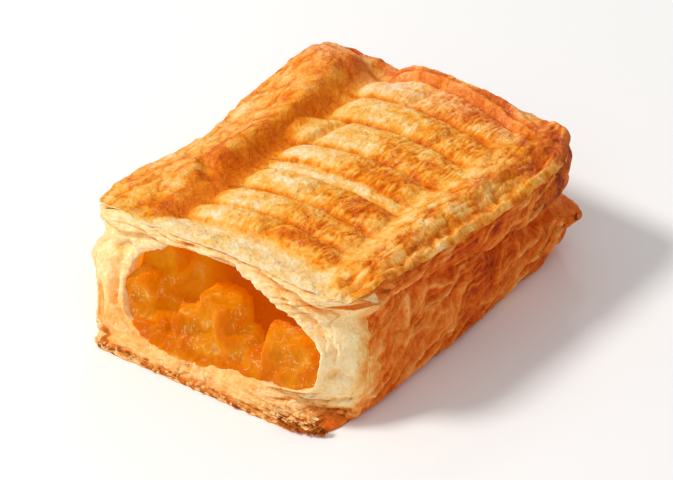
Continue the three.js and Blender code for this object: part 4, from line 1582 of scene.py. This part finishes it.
@dataclass
class Mouth:
    """The torn ring of pale layered crumb at the broken end, and the lining that runs into the hollow."""

    form: PieForm
    columns: int = 640
    edge_rows: int = 8
    face_rows: int = 64
    lining_rows: int = 30
    hidden_rows: int = 4
    depth: float = 26.0
    edge_reach: float = 0.075
    cream: float = 0.12
    lining_tone: float = 0.1
    hidden_tone: float = 0.3
    hidden_back: float = 9.0
    circle: float = 30.0
    sections: tuple[int, int, int] = (74, 62, 60)
    pockets: tuple[Pocket, ...] = (
        Pocket(15.3, 31.4, 3.6, 0.8, -14, 2.4, 0.42),
        Pocket(25.4, 28.4, 4.4, 1.2, -22, 3.4, 0.36),
        Pocket(-9.8, 32.3, 3.0, 0.5, 8, 1.4, 0.4),
        Pocket(-27.0, 9.4, 5.5, 0.8, -32, 1.4, 0.12),
        Pocket(-30.4, 16.0, 1.4, 5.5, 8, 1.8, 0.14),
        Pocket(-29.5, 25.0, 3.6, 0.9, 40, 1.4, 0.12),
        Pocket(33.6, 14.2, 1.4, 1.1, 0, 1.2, 0.1),
        Pocket(29.0, 5.8, 8.0, 0.45, 6, 1.3),
        Pocket(24.0, 7.6, 6.0, 0.4, 10, 1.0),
        Pocket(33.0, 3.4, 6.0, 0.45, 4, 1.4),
        Pocket(36.6, 30.5, 1.4, 3.0, 20, 1.8, 0.4),
        Pocket(-27.0, 28.8, 6.0, 0.9, 14, 1.2, 0.1),
        Pocket(-34.5, 23.5, 3.0, 0.6, -20, 1.4),
        Pocket(3.0, 33.8, 7.0, 0.35, -4, 0.7, 0.12),
    )

    def rings(self) -> Callable[[float], Array]:
        """The crust's outline some way along it, with the same evenly spaced columns each time."""
        first = self.form.ring(self.sections, 0.0)
        closed = np.concatenate([first, first[:1]])
        length = np.concatenate([[0], np.cumsum(np.linalg.norm(np.diff(closed, axis=0), axis=1))])
        even = np.linspace(0, length[-1], self.columns, endpoint=False)
        place = np.interp(even, length, np.arange(len(closed)))

        def at(along: float) -> Array:
            """The outline at a place from 0 at the broken end to 1 at the sealed end."""
            ring = self.form.ring(self.sections, along)
            ring = np.concatenate([ring, ring[:1]])
            return stack(*[np.interp(place, np.arange(len(ring)), ring[:, k]) for k in range(3)])

        return at

    def crumb(self, place: Array, far: Array, around: Array, point: Array) -> tuple[Array, Array]:
        """The torn face's relief, and how much darker than cream it makes each place.

        Args:
            place: where each point lies in the ring's own plane.
            far: distance in from the crust's outline.
            around: a place for each column on a circle as long as the ring.
            point: where each point lies on the pie.

        Returns:
            The height and the tone.
        """
        noise = self.form.noise
        lumps = noise.layered(place + 33, 5.5, 3)
        beads, _, own = noise.cells(place + 1.0 * noise.at(place, 3)[:, None] + 5, 1.5)
        beads = clamp(1 - 1.3 * beads) * (0.3 + own)
        stretched = stack(around[:, 0], 2.6 * far, around[:, 2])
        stretched = stretched + 2.2 * noise.at(place + 7, 6)[:, None]
        slits = Folds.crests(noise.at(stretched, 8), 5.5) * smooth(noise.at(place + 31, 9), 0.1, 0.6)
        sheet = (point[:, 2] + 0.07 * point[:, 0] + 0.7 * noise.layered(place + 60, 6, 2)) / 1.35
        step = sheet - np.floor(sheet)
        layered = smooth(point[:, 0] - 1.6 * point[:, 2], 0, 16) * fade(point[:, 2], 8, 12)
        layers = (0.75 * step**0.7 - 0.35) * layered
        shade = 0.3 * slits + 0.3 * layered * bump(step, 0.04, 0.12) - 0.05 * lumps - 0.06 * beads
        leafy = noise.layered(place + 90, (3.2, 3.2, 1.1), 3) * smooth(point[:, 0], 6, 24)
        leafy = leafy + 0.3 * noise.layered(place + 150, (1.3, 1.3, 0.8), 2)
        shade = shade - 0.1 * leafy
        return 0.7 * lumps + 0.4 * beads - 0.7 * slits + 0.7 * leafy + layers, shade

    def face(
        self, share: float, edge: Array, mouth: Array, around: Array, inward: Array
    ) -> tuple[Array, Array, Array, Array]:
        """One row of the torn face.

        Args:
            share: 0 at the crust's outline to 1 at the mouth.
            edge: the outline's points.
            mouth: the mouth's points.
            around: a place for each column on a circle as long as the ring.
            inward: each column's direction from the outline to the mouth.

        Returns:
            The row's points, their tone, how wet they are, and how glossy and sugary they are, which also
            places painted glints.
        """
        noise = self.form.noise
        width = np.linalg.norm(mouth - edge, axis=1)
        point, far = lerp(edge, mouth, share), share * width
        x, z = point[:, 0], point[:, 2]
        relief, shade = self.crumb(around + inward * far[:, None], far, around, point)
        starting, thin_lip = smooth(share, 0, 0.12), fade(share, 0.8, 1.0)
        pocket_depth = sum(pocket.depth * pocket.share(point) for pocket in self.pockets)
        pocket_shade = sum(pocket.brown * pocket.share(point) for pocket in self.pockets)
        grit, _, own = noise.cells(point + 5, 1.2)
        height = z + 1.6 * noise.layered(point + 44, 3.5, 3) - 1.6 * bump(x, -31, 9)
        height = height + 0.8 * fade(x, 0, 24)
        under = fade(height, 2.2, 3.2) * fade(far, 3.4, 6.5)
        out = 1.3 * math.sin(math.pi * share**0.7) ** 0.6 * lerp(0.2, 1.0, smooth(z, 1, 6))
        out = out + relief * starting * (0.4 + 0.6 * thin_lip) - pocket_depth
        out = out + under * (1.4 * clamp(1 - 1.1 * grit) * (0.3 + own) - 0.5)
        inner = width - far + 0.7 * noise.layered(point + 81, 5, 2)
        raised = smooth(z, 8, 14) * lerp(0.25, 1.0, smooth(x, -22, -8))
        raised = raised * np.clip(0.8 + 0.7 * noise.at(point + 61, 6), 0.2, 1.2)
        roll, groove = bump(inner, 1.3, 1.2) * raised, bump(inner, 3.5, 1.0) * raised
        out = out + 1.3 * roll - 0.9 * groove
        low = fade(z, 6, 18) * fade(x, 8, 26)
        side = fade(far, 0.8, 3.4) * smooth(x, 28, 34) * smooth(z, 6, 12)
        tone = 0.1 + shade + 0.24 * low + under * (0.18 + 0.3 * own) + pocket_shade
        tone = tone + smooth(x, 24, 32) * (0.4 - 0.48 * smooth(z, 3.0, 6.0))
        tone = tone + 0.12 * noise.layered(point + 71, 7, 3) - 0.08 * roll + 0.12 * groove
        tone = tone + 0.3 * side + 0.12 * fade(far, 0.0, 1.2)
        damp = np.clip(0.5 + 0.9 * noise.layered(point + 25, 4, 3), 0, 1.3)
        wet = 0.24 * fade(inner, 0.4, 4.6) * (1 - raised) * damp
        # Where the crumb is glossy with syrup, which is also where its painted glints go.
        sugar_shine_and_glints = fade(inner, 2.5, 6.0) * (1 - raised)
        return point + stack(0, -out, 0.28 * out), tone, wet, sugar_shine_and_glints

    def build(self) -> Piece:
        """Models the torn ring.

        Returns:
            The ring, whose marks are bake, glaze and soak.
        """
        form, noise = self.form, self.form.noise
        ring = self.rings()
        edge = ring(0.0)
        angle = np.arctan2(edge[:, 2] - form.middle_z, edge[:, 0])
        inward = stack(-np.cos(angle), 0, -np.sin(angle))
        around = -self.circle * inward
        mouth = form.hollow(angle, np.full(self.columns, -form.half_length))
        teeth = 1.1 * noise.layered(around * 1.4 + 7, 2.0, 4) + 0.9 * noise.at(around + 17, 9)
        upper = smooth(mouth[:, 2], 12, 20)
        mouth = mouth + inward * (teeth * (0.35 + 0.65 * upper))[:, None]
        mouth[:, 1] = form.broken_front(mouth[:, 2]) + 1.0
        rows: list[Array] = []
        marks: dict[str, list[Array]] = {"bake": [], "soak": [], "glaze": []}

        def add(points: Array, tone: Any, wet: Any = 0.0, sugar_shine_and_glints: Any = 0.0) -> None:
            """Adds one row of points with its marks, each a number or one for each column."""
            rows.append(points)
            for values, value in zip(marks.values(), (tone, wet, sugar_shine_and_glints)):
                values.append(value + np.zeros(self.columns))

        for along in np.linspace(self.edge_reach, 0.0, self.edge_rows):
            row = ring(along) + inward * lerp(0.3, 1.4, along / self.edge_reach)
            lift = 1.2 * smooth(row[:, 2], 28, 31) * max(1 - along / 0.02, 0.0)
            crisp_corner = 0.45 * fade(row[:, 2], 2.5, 6.0) * smooth(row[:, 0], 22, 32)
            add(row + stack(0, 0, lift), self.cream + crisp_corner)
        start = rows[0]
        edge = rows[-1]
        for share in np.linspace(0, 1, self.face_rows)[1:]:
            add(*self.face(share, edge, mouth, around, inward))
        lip = rows[-1]
        for share in (np.linspace(0, 1, self.lining_rows) ** 1.4)[1:]:
            deep = share * self.depth
            settle = smooth(share, 0, 0.25)
            point = lerp(lip + stack(0, deep, 0), form.hollow(angle, lip[:, 1] + deep), settle)
            wave = noise.layered(point + 90, 6, 3)
            point = point + inward * (0.4 * wave * settle)[:, None]
            # The lining is soaked more deeply further in, which also strengthens its painted glow.
            add(point, self.lining_tone, smooth(deep, 0.6, 5.0))
        end = rows[-1]
        outside = lerp(edge, mouth, 0.4) + stack(0, self.hidden_back, 0)
        steps = np.linspace(0, 1, self.hidden_rows + 1)[1:]
        for share in steps:
            add(lerp(end, outside, share), self.hidden_tone)
        for share in steps[:-1]:
            add(lerp(outside, start, share), self.hidden_tone)
        return band("torn_edge", np.stack(rows), {name: np.stack(values) for name, values in marks.items()})


@dataclass(frozen=True)
class Spray:
    """Where flakes stand out of the torn face: its middle and spread, their number, size and browning."""

    x: float
    z: float
    reach_x: float
    reach_z: float
    count: int
    length: float
    brown: float


@dataclass
class Flakes:
    """Thin torn flakes that stand out of the broken end, each a bent chip."""

    form: PieForm
    sprays: tuple[Spray, ...] = (
        Spray(26.0, 3.6, 7.0, 1.7, 56, 2.0, 0.24),
        Spray(29.5, 1.8, 6.0, 1.2, 80, 1.8, 0.8),
        Spray(-12.0, 1.5, 20.0, 0.6, 70, 1.2, 0.38),
    )
    cuts: int = 2
    palest: float = 0.16
    lowest: float = 0.9
    foot_height: float = 8.0
    chance: np.random.Generator = field(default_factory=lambda: np.random.default_rng(SEED + 5))

    def build(self) -> Piece:
        """Models the flakes from one cube, cut up and repeated.

        Returns:
            The flakes, whose mark is bake.
        """
        total = sum(spray.count for spray in self.sprays)
        piece = primitive("flakes", bpy.ops.mesh.primitive_cube_add, size=2.0)
        edit_all(piece, lambda: bpy.ops.mesh.subdivide(number_cuts=self.cuts))
        chip = coordinates(piece)
        apply_modifier(piece, "ARRAY", count=total, use_relative_offset=True)
        bodies, tones = [], []
        for spray in self.sprays:
            for _ in range(spray.count):
                bodies.append(self.flake(chip, spray))
                tone = max(self.palest, spray.brown + 0.12 * self.chance.normal())
                tones.append(np.full(len(chip), tone))
        lay(piece, np.concatenate(bodies))
        paint(piece, "bake", np.concatenate(tones))
        return seal(piece, Finishing.CREASED)

    def flake(self, chip: Array, spray: Spray) -> Array:
        """One flake's points, which lie along the ring and stand out of its face."""
        form, chance = self.form, self.chance
        while True:
            x = spray.x + spray.reach_x * chance.uniform(-1, 1)
            z = max(self.lowest, spray.z + spray.reach_z * chance.uniform(-1, 1))
            angle = math.atan2(z - form.middle_z, x)
            mouth = form.hollow(np.array([angle]), np.array([-form.half_length]), -0.8)[0]
            if math.hypot(x, z - form.middle_z) > math.hypot(mouth[0], mouth[2] - form.middle_z):
                break
        upright, towards_mouth = (0.07, 0.0, 1.0), (-math.cos(angle), 0.0, -math.sin(angle))
        inward = np.array(upright if z < self.foot_height else towards_mouth)
        out = np.array([0.0, -1.0, 0.28])
        along = np.cross(out, inward)
        length = spray.length * chance.uniform(0.35, 1.0)
        depth, thick = 0.16 * length + 0.6, chance.uniform(0.04, 0.09)
        lean = chance.normal(scale=0.3)
        u, v, w = chip.T
        ragged = 1 + 0.35 * form.noise.at(stack(3 * u + x, 3 * v + z, 0.0), 1.3)
        curl = chance.normal(scale=0.35)
        across = w * thick + curl * v * v + 0.25 * u * u * chance.normal()
        u, v = u * ragged * length / 2, v * ragged * depth / 2
        centre = np.array([x, float(form.torn_y(x, z)) - 0.3, z])
        out, inward = out + lean * inward, inward - lean * out
        return centre + u[:, None] * along + v[:, None] * out + across[:, None] * inward


# ---------------- the filling


@dataclass(frozen=True)
class Chunk:
    """One piece of stewed apple: its middle, its half sizes and how it lies."""

    x: float
    y: float
    z: float
    half_x: float
    half_y: float
    half_z: float
    turn: float
    lean: float

    @property
    def middle(self) -> Array:
        """Its middle, as a point."""
        return np.array([self.x, self.y, self.z])

    @property
    def half(self) -> Array:
        """Its half sizes along X, Y and Z."""
        return np.array([self.half_x, self.half_y, self.half_z])

    def spin(self) -> Array:
        """How it lies, as a matrix that turns rows of points."""
        turn, lean = math.radians(self.turn), math.radians(self.lean)
        matrix = Matrix.Rotation(turn, 3, "Z") @ Matrix.Rotation(lean, 3, "Y")
        return np.array(matrix.transposed())


@dataclass
class Filling:
    """Chunks of stewed apple in a bed of thick syrup."""

    form: PieForm
    chunks: tuple[Chunk, ...] = (
        Chunk(-23.4, -43.2, 11.4, 4.6, 5.0, 7.4, 14, -8),
        Chunk(-17.4, -43.4, 7.4, 4.6, 4.6, 3.8, -20, 8),
        Chunk(-8.8, -45.2, 9.8, 3.6, 4.0, 5.4, 20, -10),
        Chunk(-0.8, -42.8, 13.6, 5.6, 5.0, 8.0, -12, 5),
        Chunk(-4.0, -47.4, 7.4, 6.0, 3.4, 3.2, 10, 8),
        Chunk(5.4, -44.0, 9.0, 4.0, 4.4, 4.8, 22, -6),
        Chunk(19.8, -43.8, 11.8, 5.8, 5.2, 7.0, 14, -5),
        Chunk(26.2, -42.6, 12.2, 3.6, 5.0, 7.0, -14, 10),
        Chunk(13.4, -46.6, 7.6, 4.4, 3.6, 3.2, -18, 8),
        Chunk(22.6, -47.0, 8.4, 4.0, 3.2, 3.6, 14, -10),
        Chunk(28.4, -44.5, 9.5, 3.0, 4.0, 4.5, 5, 10),
        Chunk(-23.0, -37.0, 21.6, 6.6, 4.6, 7.0, 6, 20),
    )
    split_y: float = -6.0
    overlap: float = 2.0
    back_y: float = 40.0
    gap_to_wall: float = 0.2
    # Depth of the hidden core's colour, deep as painted shade inside the hollow.
    core_soak_and_shade: float = 0.8
    voxel: float = 0.48
    cuts: int = 11
    squareness: float = 7.0
    cut_share: float = 0.92
    cap_rows: int = 11

    def top(self, x: Array, y: Array) -> Array:
        """Height of the syrup, which is low at the mouth and rises to the roof further in."""
        form = self.form
        rise = smooth(y, -40, -20)
        lumps = 1.2 * form.noise.layered(stack(x, y, 4.0), 9, 2)
        return lerp(8.6 + lumps, form.roof(x, y) + 0.8, rise)

    @staticmethod
    def set_back(z: Array) -> Array:
        """How far the syrup's front stands behind the break; low down it laps over the crumb."""
        return lerp(0.2, 1.6, smooth(z, 5, 9))

    def face_y(self, points: Array, start: float) -> Array:
        """The y of the syrup's front at some points, which is no further out than its start."""
        return np.maximum(self.form.broken_front(points[:, 2]) + self.set_back(points[:, 2]), start)

    def bed(self, name: str, start: float, end: float, steps: int, count: int) -> Piece:
        """Models a stretch of syrup between two depths.

        Args:
            name: the piece's name.
            start: its front, or below the mouth's depth for the lumpy broken front.
            end: its back.
            steps: how many points run round it.
            count: how many rows run along it.

        Returns:
            The bed.
        """
        form = self.form
        angle = 2 * math.pi * np.arange(steps) / steps
        low = form.hollow(angle, np.full(steps, start), self.gap_to_wall)
        low[:, 2] = np.minimum(low[:, 2], self.top(low[:, 0], low[:, 1]))
        front = self.face_y(low, start)
        spill = -1.1 * smooth(-np.sin(angle), 0.35, 0.8)
        rows = []
        for share in np.linspace(0, 1, count):
            y = lerp(front, end, share)
            point = form.hollow(angle, y, self.gap_to_wall + spill * (1 - min(6 * share, 1.0)))
            point[:, 2] = np.minimum(point[:, 2], self.top(point[:, 0], y))
            rows.append(point)
        cap = []
        middle = rows[0].mean(axis=0)
        for share in np.linspace(0, 1, self.cap_rows + 1)[:-1]:
            point = lerp(middle, rows[0], share)
            point[:, 1] = self.face_y(point, start)
            cap.append(point)
        last = rows[-1].mean(axis=0)
        tail = [lerp(rows[-1], last, 0.5), np.tile(last, (steps, 1))]
        return skin(name, np.stack(cap + rows + tail), {})

    def chunk(self, index: int, size: Chunk) -> Piece:
        """Models one chunk from a cube, cut square and softened by cooking."""
        piece = primitive("chunk", bpy.ops.mesh.primitive_cube_add, size=2.0)
        edit_all(piece, lambda: bpy.ops.mesh.subdivide(number_cuts=self.cuts))
        noise = self.form.noise
        cube = coordinates(piece)
        ball = directions(cube)
        power = self.squareness
        block = cube / (np.abs(cube) ** power).sum(axis=1)[:, None] ** (1 / power)
        body = lerp(ball, block, self.cut_share) * size.half
        body = body + ball * (1.3 * noise.at(body + 31.0 * index, 7.0))[:, None]
        lay(piece, body @ size.spin() + size.middle)
        return piece

    def gap(self, points: Array) -> Array:
        """How far each place is from the nearest chunk's middle, in shares of the chunk's half size."""
        nearest = np.full(len(points), OUT_OF_REACH)
        for size in self.chunks:
            share = np.abs((points - size.middle) / size.half)
            nearest = np.minimum(nearest, (share**3).sum(axis=1) ** (1 / 3))
        return nearest

    def build(self) -> list[Piece]:
        """Models the fruit at the mouth, and the plain filling behind it.

        Returns:
            The two pieces, whose marks are soak and, at the mouth, glaze.
        """
        noise = self.form.noise
        parts = [self.bed("stewed_apple", -self.form.half_length, self.split_y, 120, 60)]
        parts += [self.chunk(index, size) for index, size in enumerate(self.chunks, 1)]
        fruit = parts[0]
        deselect()
        for part in parts:
            part.select_set(True)
        bpy.context.view_layer.objects.active = fruit
        bpy.ops.object.join()
        apply_modifier(fruit, "REMESH", mode="VOXEL", voxel_size=self.voxel * MM)
        apply_modifier(fruit, "SMOOTH", factor=0.5, iterations=3)
        points = coordinates(fruit) / MM
        normals = np.zeros(len(points) * 3)
        fruit.data.vertex_normals.foreach_get("vector", normals)
        normals = normals.reshape(-1, 3)
        lumps = noise.layered(points, (5.0, 5.0, 9.0), 3)
        fibres = noise.ridged(points + 2 * noise.at(points, 6)[:, None], (2.0, 2.0, 9.0))
        chips = noise.layered(points + 70, (1.8, 1.8, 3.6), 3)
        points = points + normals * (0.85 * lumps + 0.35 * fibres + 0.3 * chips - 0.15)[:, None]
        lay(fruit, points)
        x, y, z = points.T
        # Painted shade: the fruit's colour deepens between the chunks and further in under the roof, save at
        # the hollow's left.
        behind = smooth(y + 0.25 * z, -38, -31)
        between = smooth(self.gap(points), 1.0, 1.35)
        hollows = 0.22 * noise.layered(points + 7, 5, 2)
        low = 0.6 * fade(z - 0.04 * x, 4.4, 7.6) * smooth(-45 - y, 0.0, 2.5)
        front = 0.27 + 0.36 * between + hollows - low - 0.1 * fibres
        deep = lerp(0.2, 1.0, smooth(x + 0.4 * (z - 20), -18, -6))
        paint(fruit, "soak", lerp(front, deep, behind))
        # Where painted glints go on the fruit: at the front, fewer between the chunks, none up high.
        paint(fruit, "glaze", (1 - behind) * (1 - 0.6 * between) * fade(z, 18, 21))
        finish(fruit, Finishing.SMOOTH)
        core = self.bed("filling_core", self.split_y - self.overlap, self.back_y, 64, 24)
        paint(core, "soak", np.full(len(core.data.vertices), self.core_soak_and_shade))
        return [fruit, core]


# ---------------- the studio


@dataclass
class Studio:
    """A pale floor, soft lights and the camera."""

    azimuth: float = 36.14
    elevation: float = 32.84
    distance: float = 0.8385
    target: Vector = field(default_factory=lambda: Vector((0.0, 0.0, 0.017)))
    aim_right: float = 0.00066
    aim_down: float = 0.00243
    lens: float = 181.87
    sky_strength: float = 0.45

    @staticmethod
    def floor() -> None:
        """Lays the floor."""
        piece = primitive("floor", bpy.ops.mesh.primitive_plane_add, size=12.0)
        piece.data.materials.append(PlainFloor().make())
        piece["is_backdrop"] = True

    def light(self, name: str, place: Place, size: float, watts: float, colour: Colour) -> None:
        """Adds one soft light that faces the pie.

        Args:
            name: the light's name.
            place: where it stands, in metres.
            size: how wide it is, in metres.
            watts: its power.
            colour: its tint.
        """
        lamp = bpy.data.lights.new(name, "AREA")
        lamp.shape = "DISK"
        lamp.size = size
        lamp.energy = watts
        lamp.color = colour
        stand = bpy.data.objects.new(name, lamp)
        bpy.context.scene.collection.objects.link(stand)
        stand.location = place
        stand.rotation_euler = (self.target - Vector(place)).to_track_quat("-Z", "Y").to_euler()

    def sky(self) -> None:
        """Lights the scene softly from all round."""
        world = bpy.data.worlds.new("studio")
        bpy.context.scene.world = world
        world.use_nodes = True
        background = world.node_tree.nodes["Background"]
        background.inputs["Color"].default_value = (1.0, 1.0, 1.0, 1.0)
        background.inputs["Strength"].default_value = self.sky_strength

    def camera(self) -> None:
        """Places the camera, which aims a little below and beside the middle of the pie."""
        lens = bpy.data.cameras.new("camera")
        lens.lens = self.lens
        lens.clip_start = 0.01
        camera = bpy.data.objects.new("camera", lens)
        bpy.context.scene.collection.objects.link(camera)
        turn, climb = math.radians(self.azimuth), math.radians(self.elevation)
        right = Vector((math.cos(turn), math.sin(turn), 0.0))
        ahead = Vector((math.sin(turn), -math.cos(turn), 0.0))
        back = ahead * math.cos(climb) + Vector((0.0, 0.0, math.sin(climb)))
        camera.location = self.target + back * self.distance
        aim = self.target + right * self.aim_right - back.cross(right) * self.aim_down
        camera.rotation_euler = (aim - camera.location).to_track_quat("-Z", "Y").to_euler()
        bpy.context.scene.camera = camera

    def build(self) -> None:
        """Sets up the floor, the lights, the world and the camera."""
        self.floor()
        self.light("key", (-0.60, -0.44, 0.87), 0.28, 9.2, (1.0, 0.97, 0.93))
        self.light("fill", (0.45, -0.95, 0.5), 0.8, 1.9, (1.0, 0.98, 0.96))
        self.light("sheen", (-0.55, 0.8, 0.6), 0.2, 1.0, (1.0, 0.98, 0.95))
        self.sky()
        bpy.context.scene.view_settings.view_transform = "Standard"
        self.camera()


def main() -> None:
    """Builds the pie and its studio."""
    logging.basicConfig(level=logging.INFO, format="%(name)s: %(message)s")
    form = PieForm()
    folds = Folds(form)
    pastry = BakedPastry(specular=0.1, painted_glint=0.3).make()
    draped = BakedPastry("draped_pastry", DRAPED, specular=0.12, grain=0.95, mottle_and_relief_shade=0.31).make()
    apple = StewedApple().make()
    deliver(Lid(form).build(), Slot.PASTRY, pastry, "crust")
    deliver(Case(form, folds).build(), Slot.PASTRY, draped, "crust")
    for name, side in (("left_wall", -1.0), ("right_wall", 1.0)):
        deliver(Drape(form, folds, name, side).build(), Slot.PASTRY, draped, "crust")
    crumb = BakedPastry("torn_crumb", CRUMB, specular=0.1, painted_glow=0.9, painted_glint=0.8).make()
    deliver(Mouth(form).build(), Slot.PASTRY, crumb, "crust")
    deliver(Flakes(form).build(), Slot.PASTRY, crumb, "crust")
    for piece in Filling(form).build():
        deliver(piece, Slot.FILLING, apple, "filling")
    Studio().build()


def write_sizes(before: Any) -> None:
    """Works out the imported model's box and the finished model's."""
    boxes = {"cad": before, "visual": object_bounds()}
    plain = {name: [[float(v) for v in corner] for corner in box] for name, box in boxes.items()}


if __name__ == "__main__":
    CAD_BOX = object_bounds()
    main()
    write_sizes(CAD_BOX)
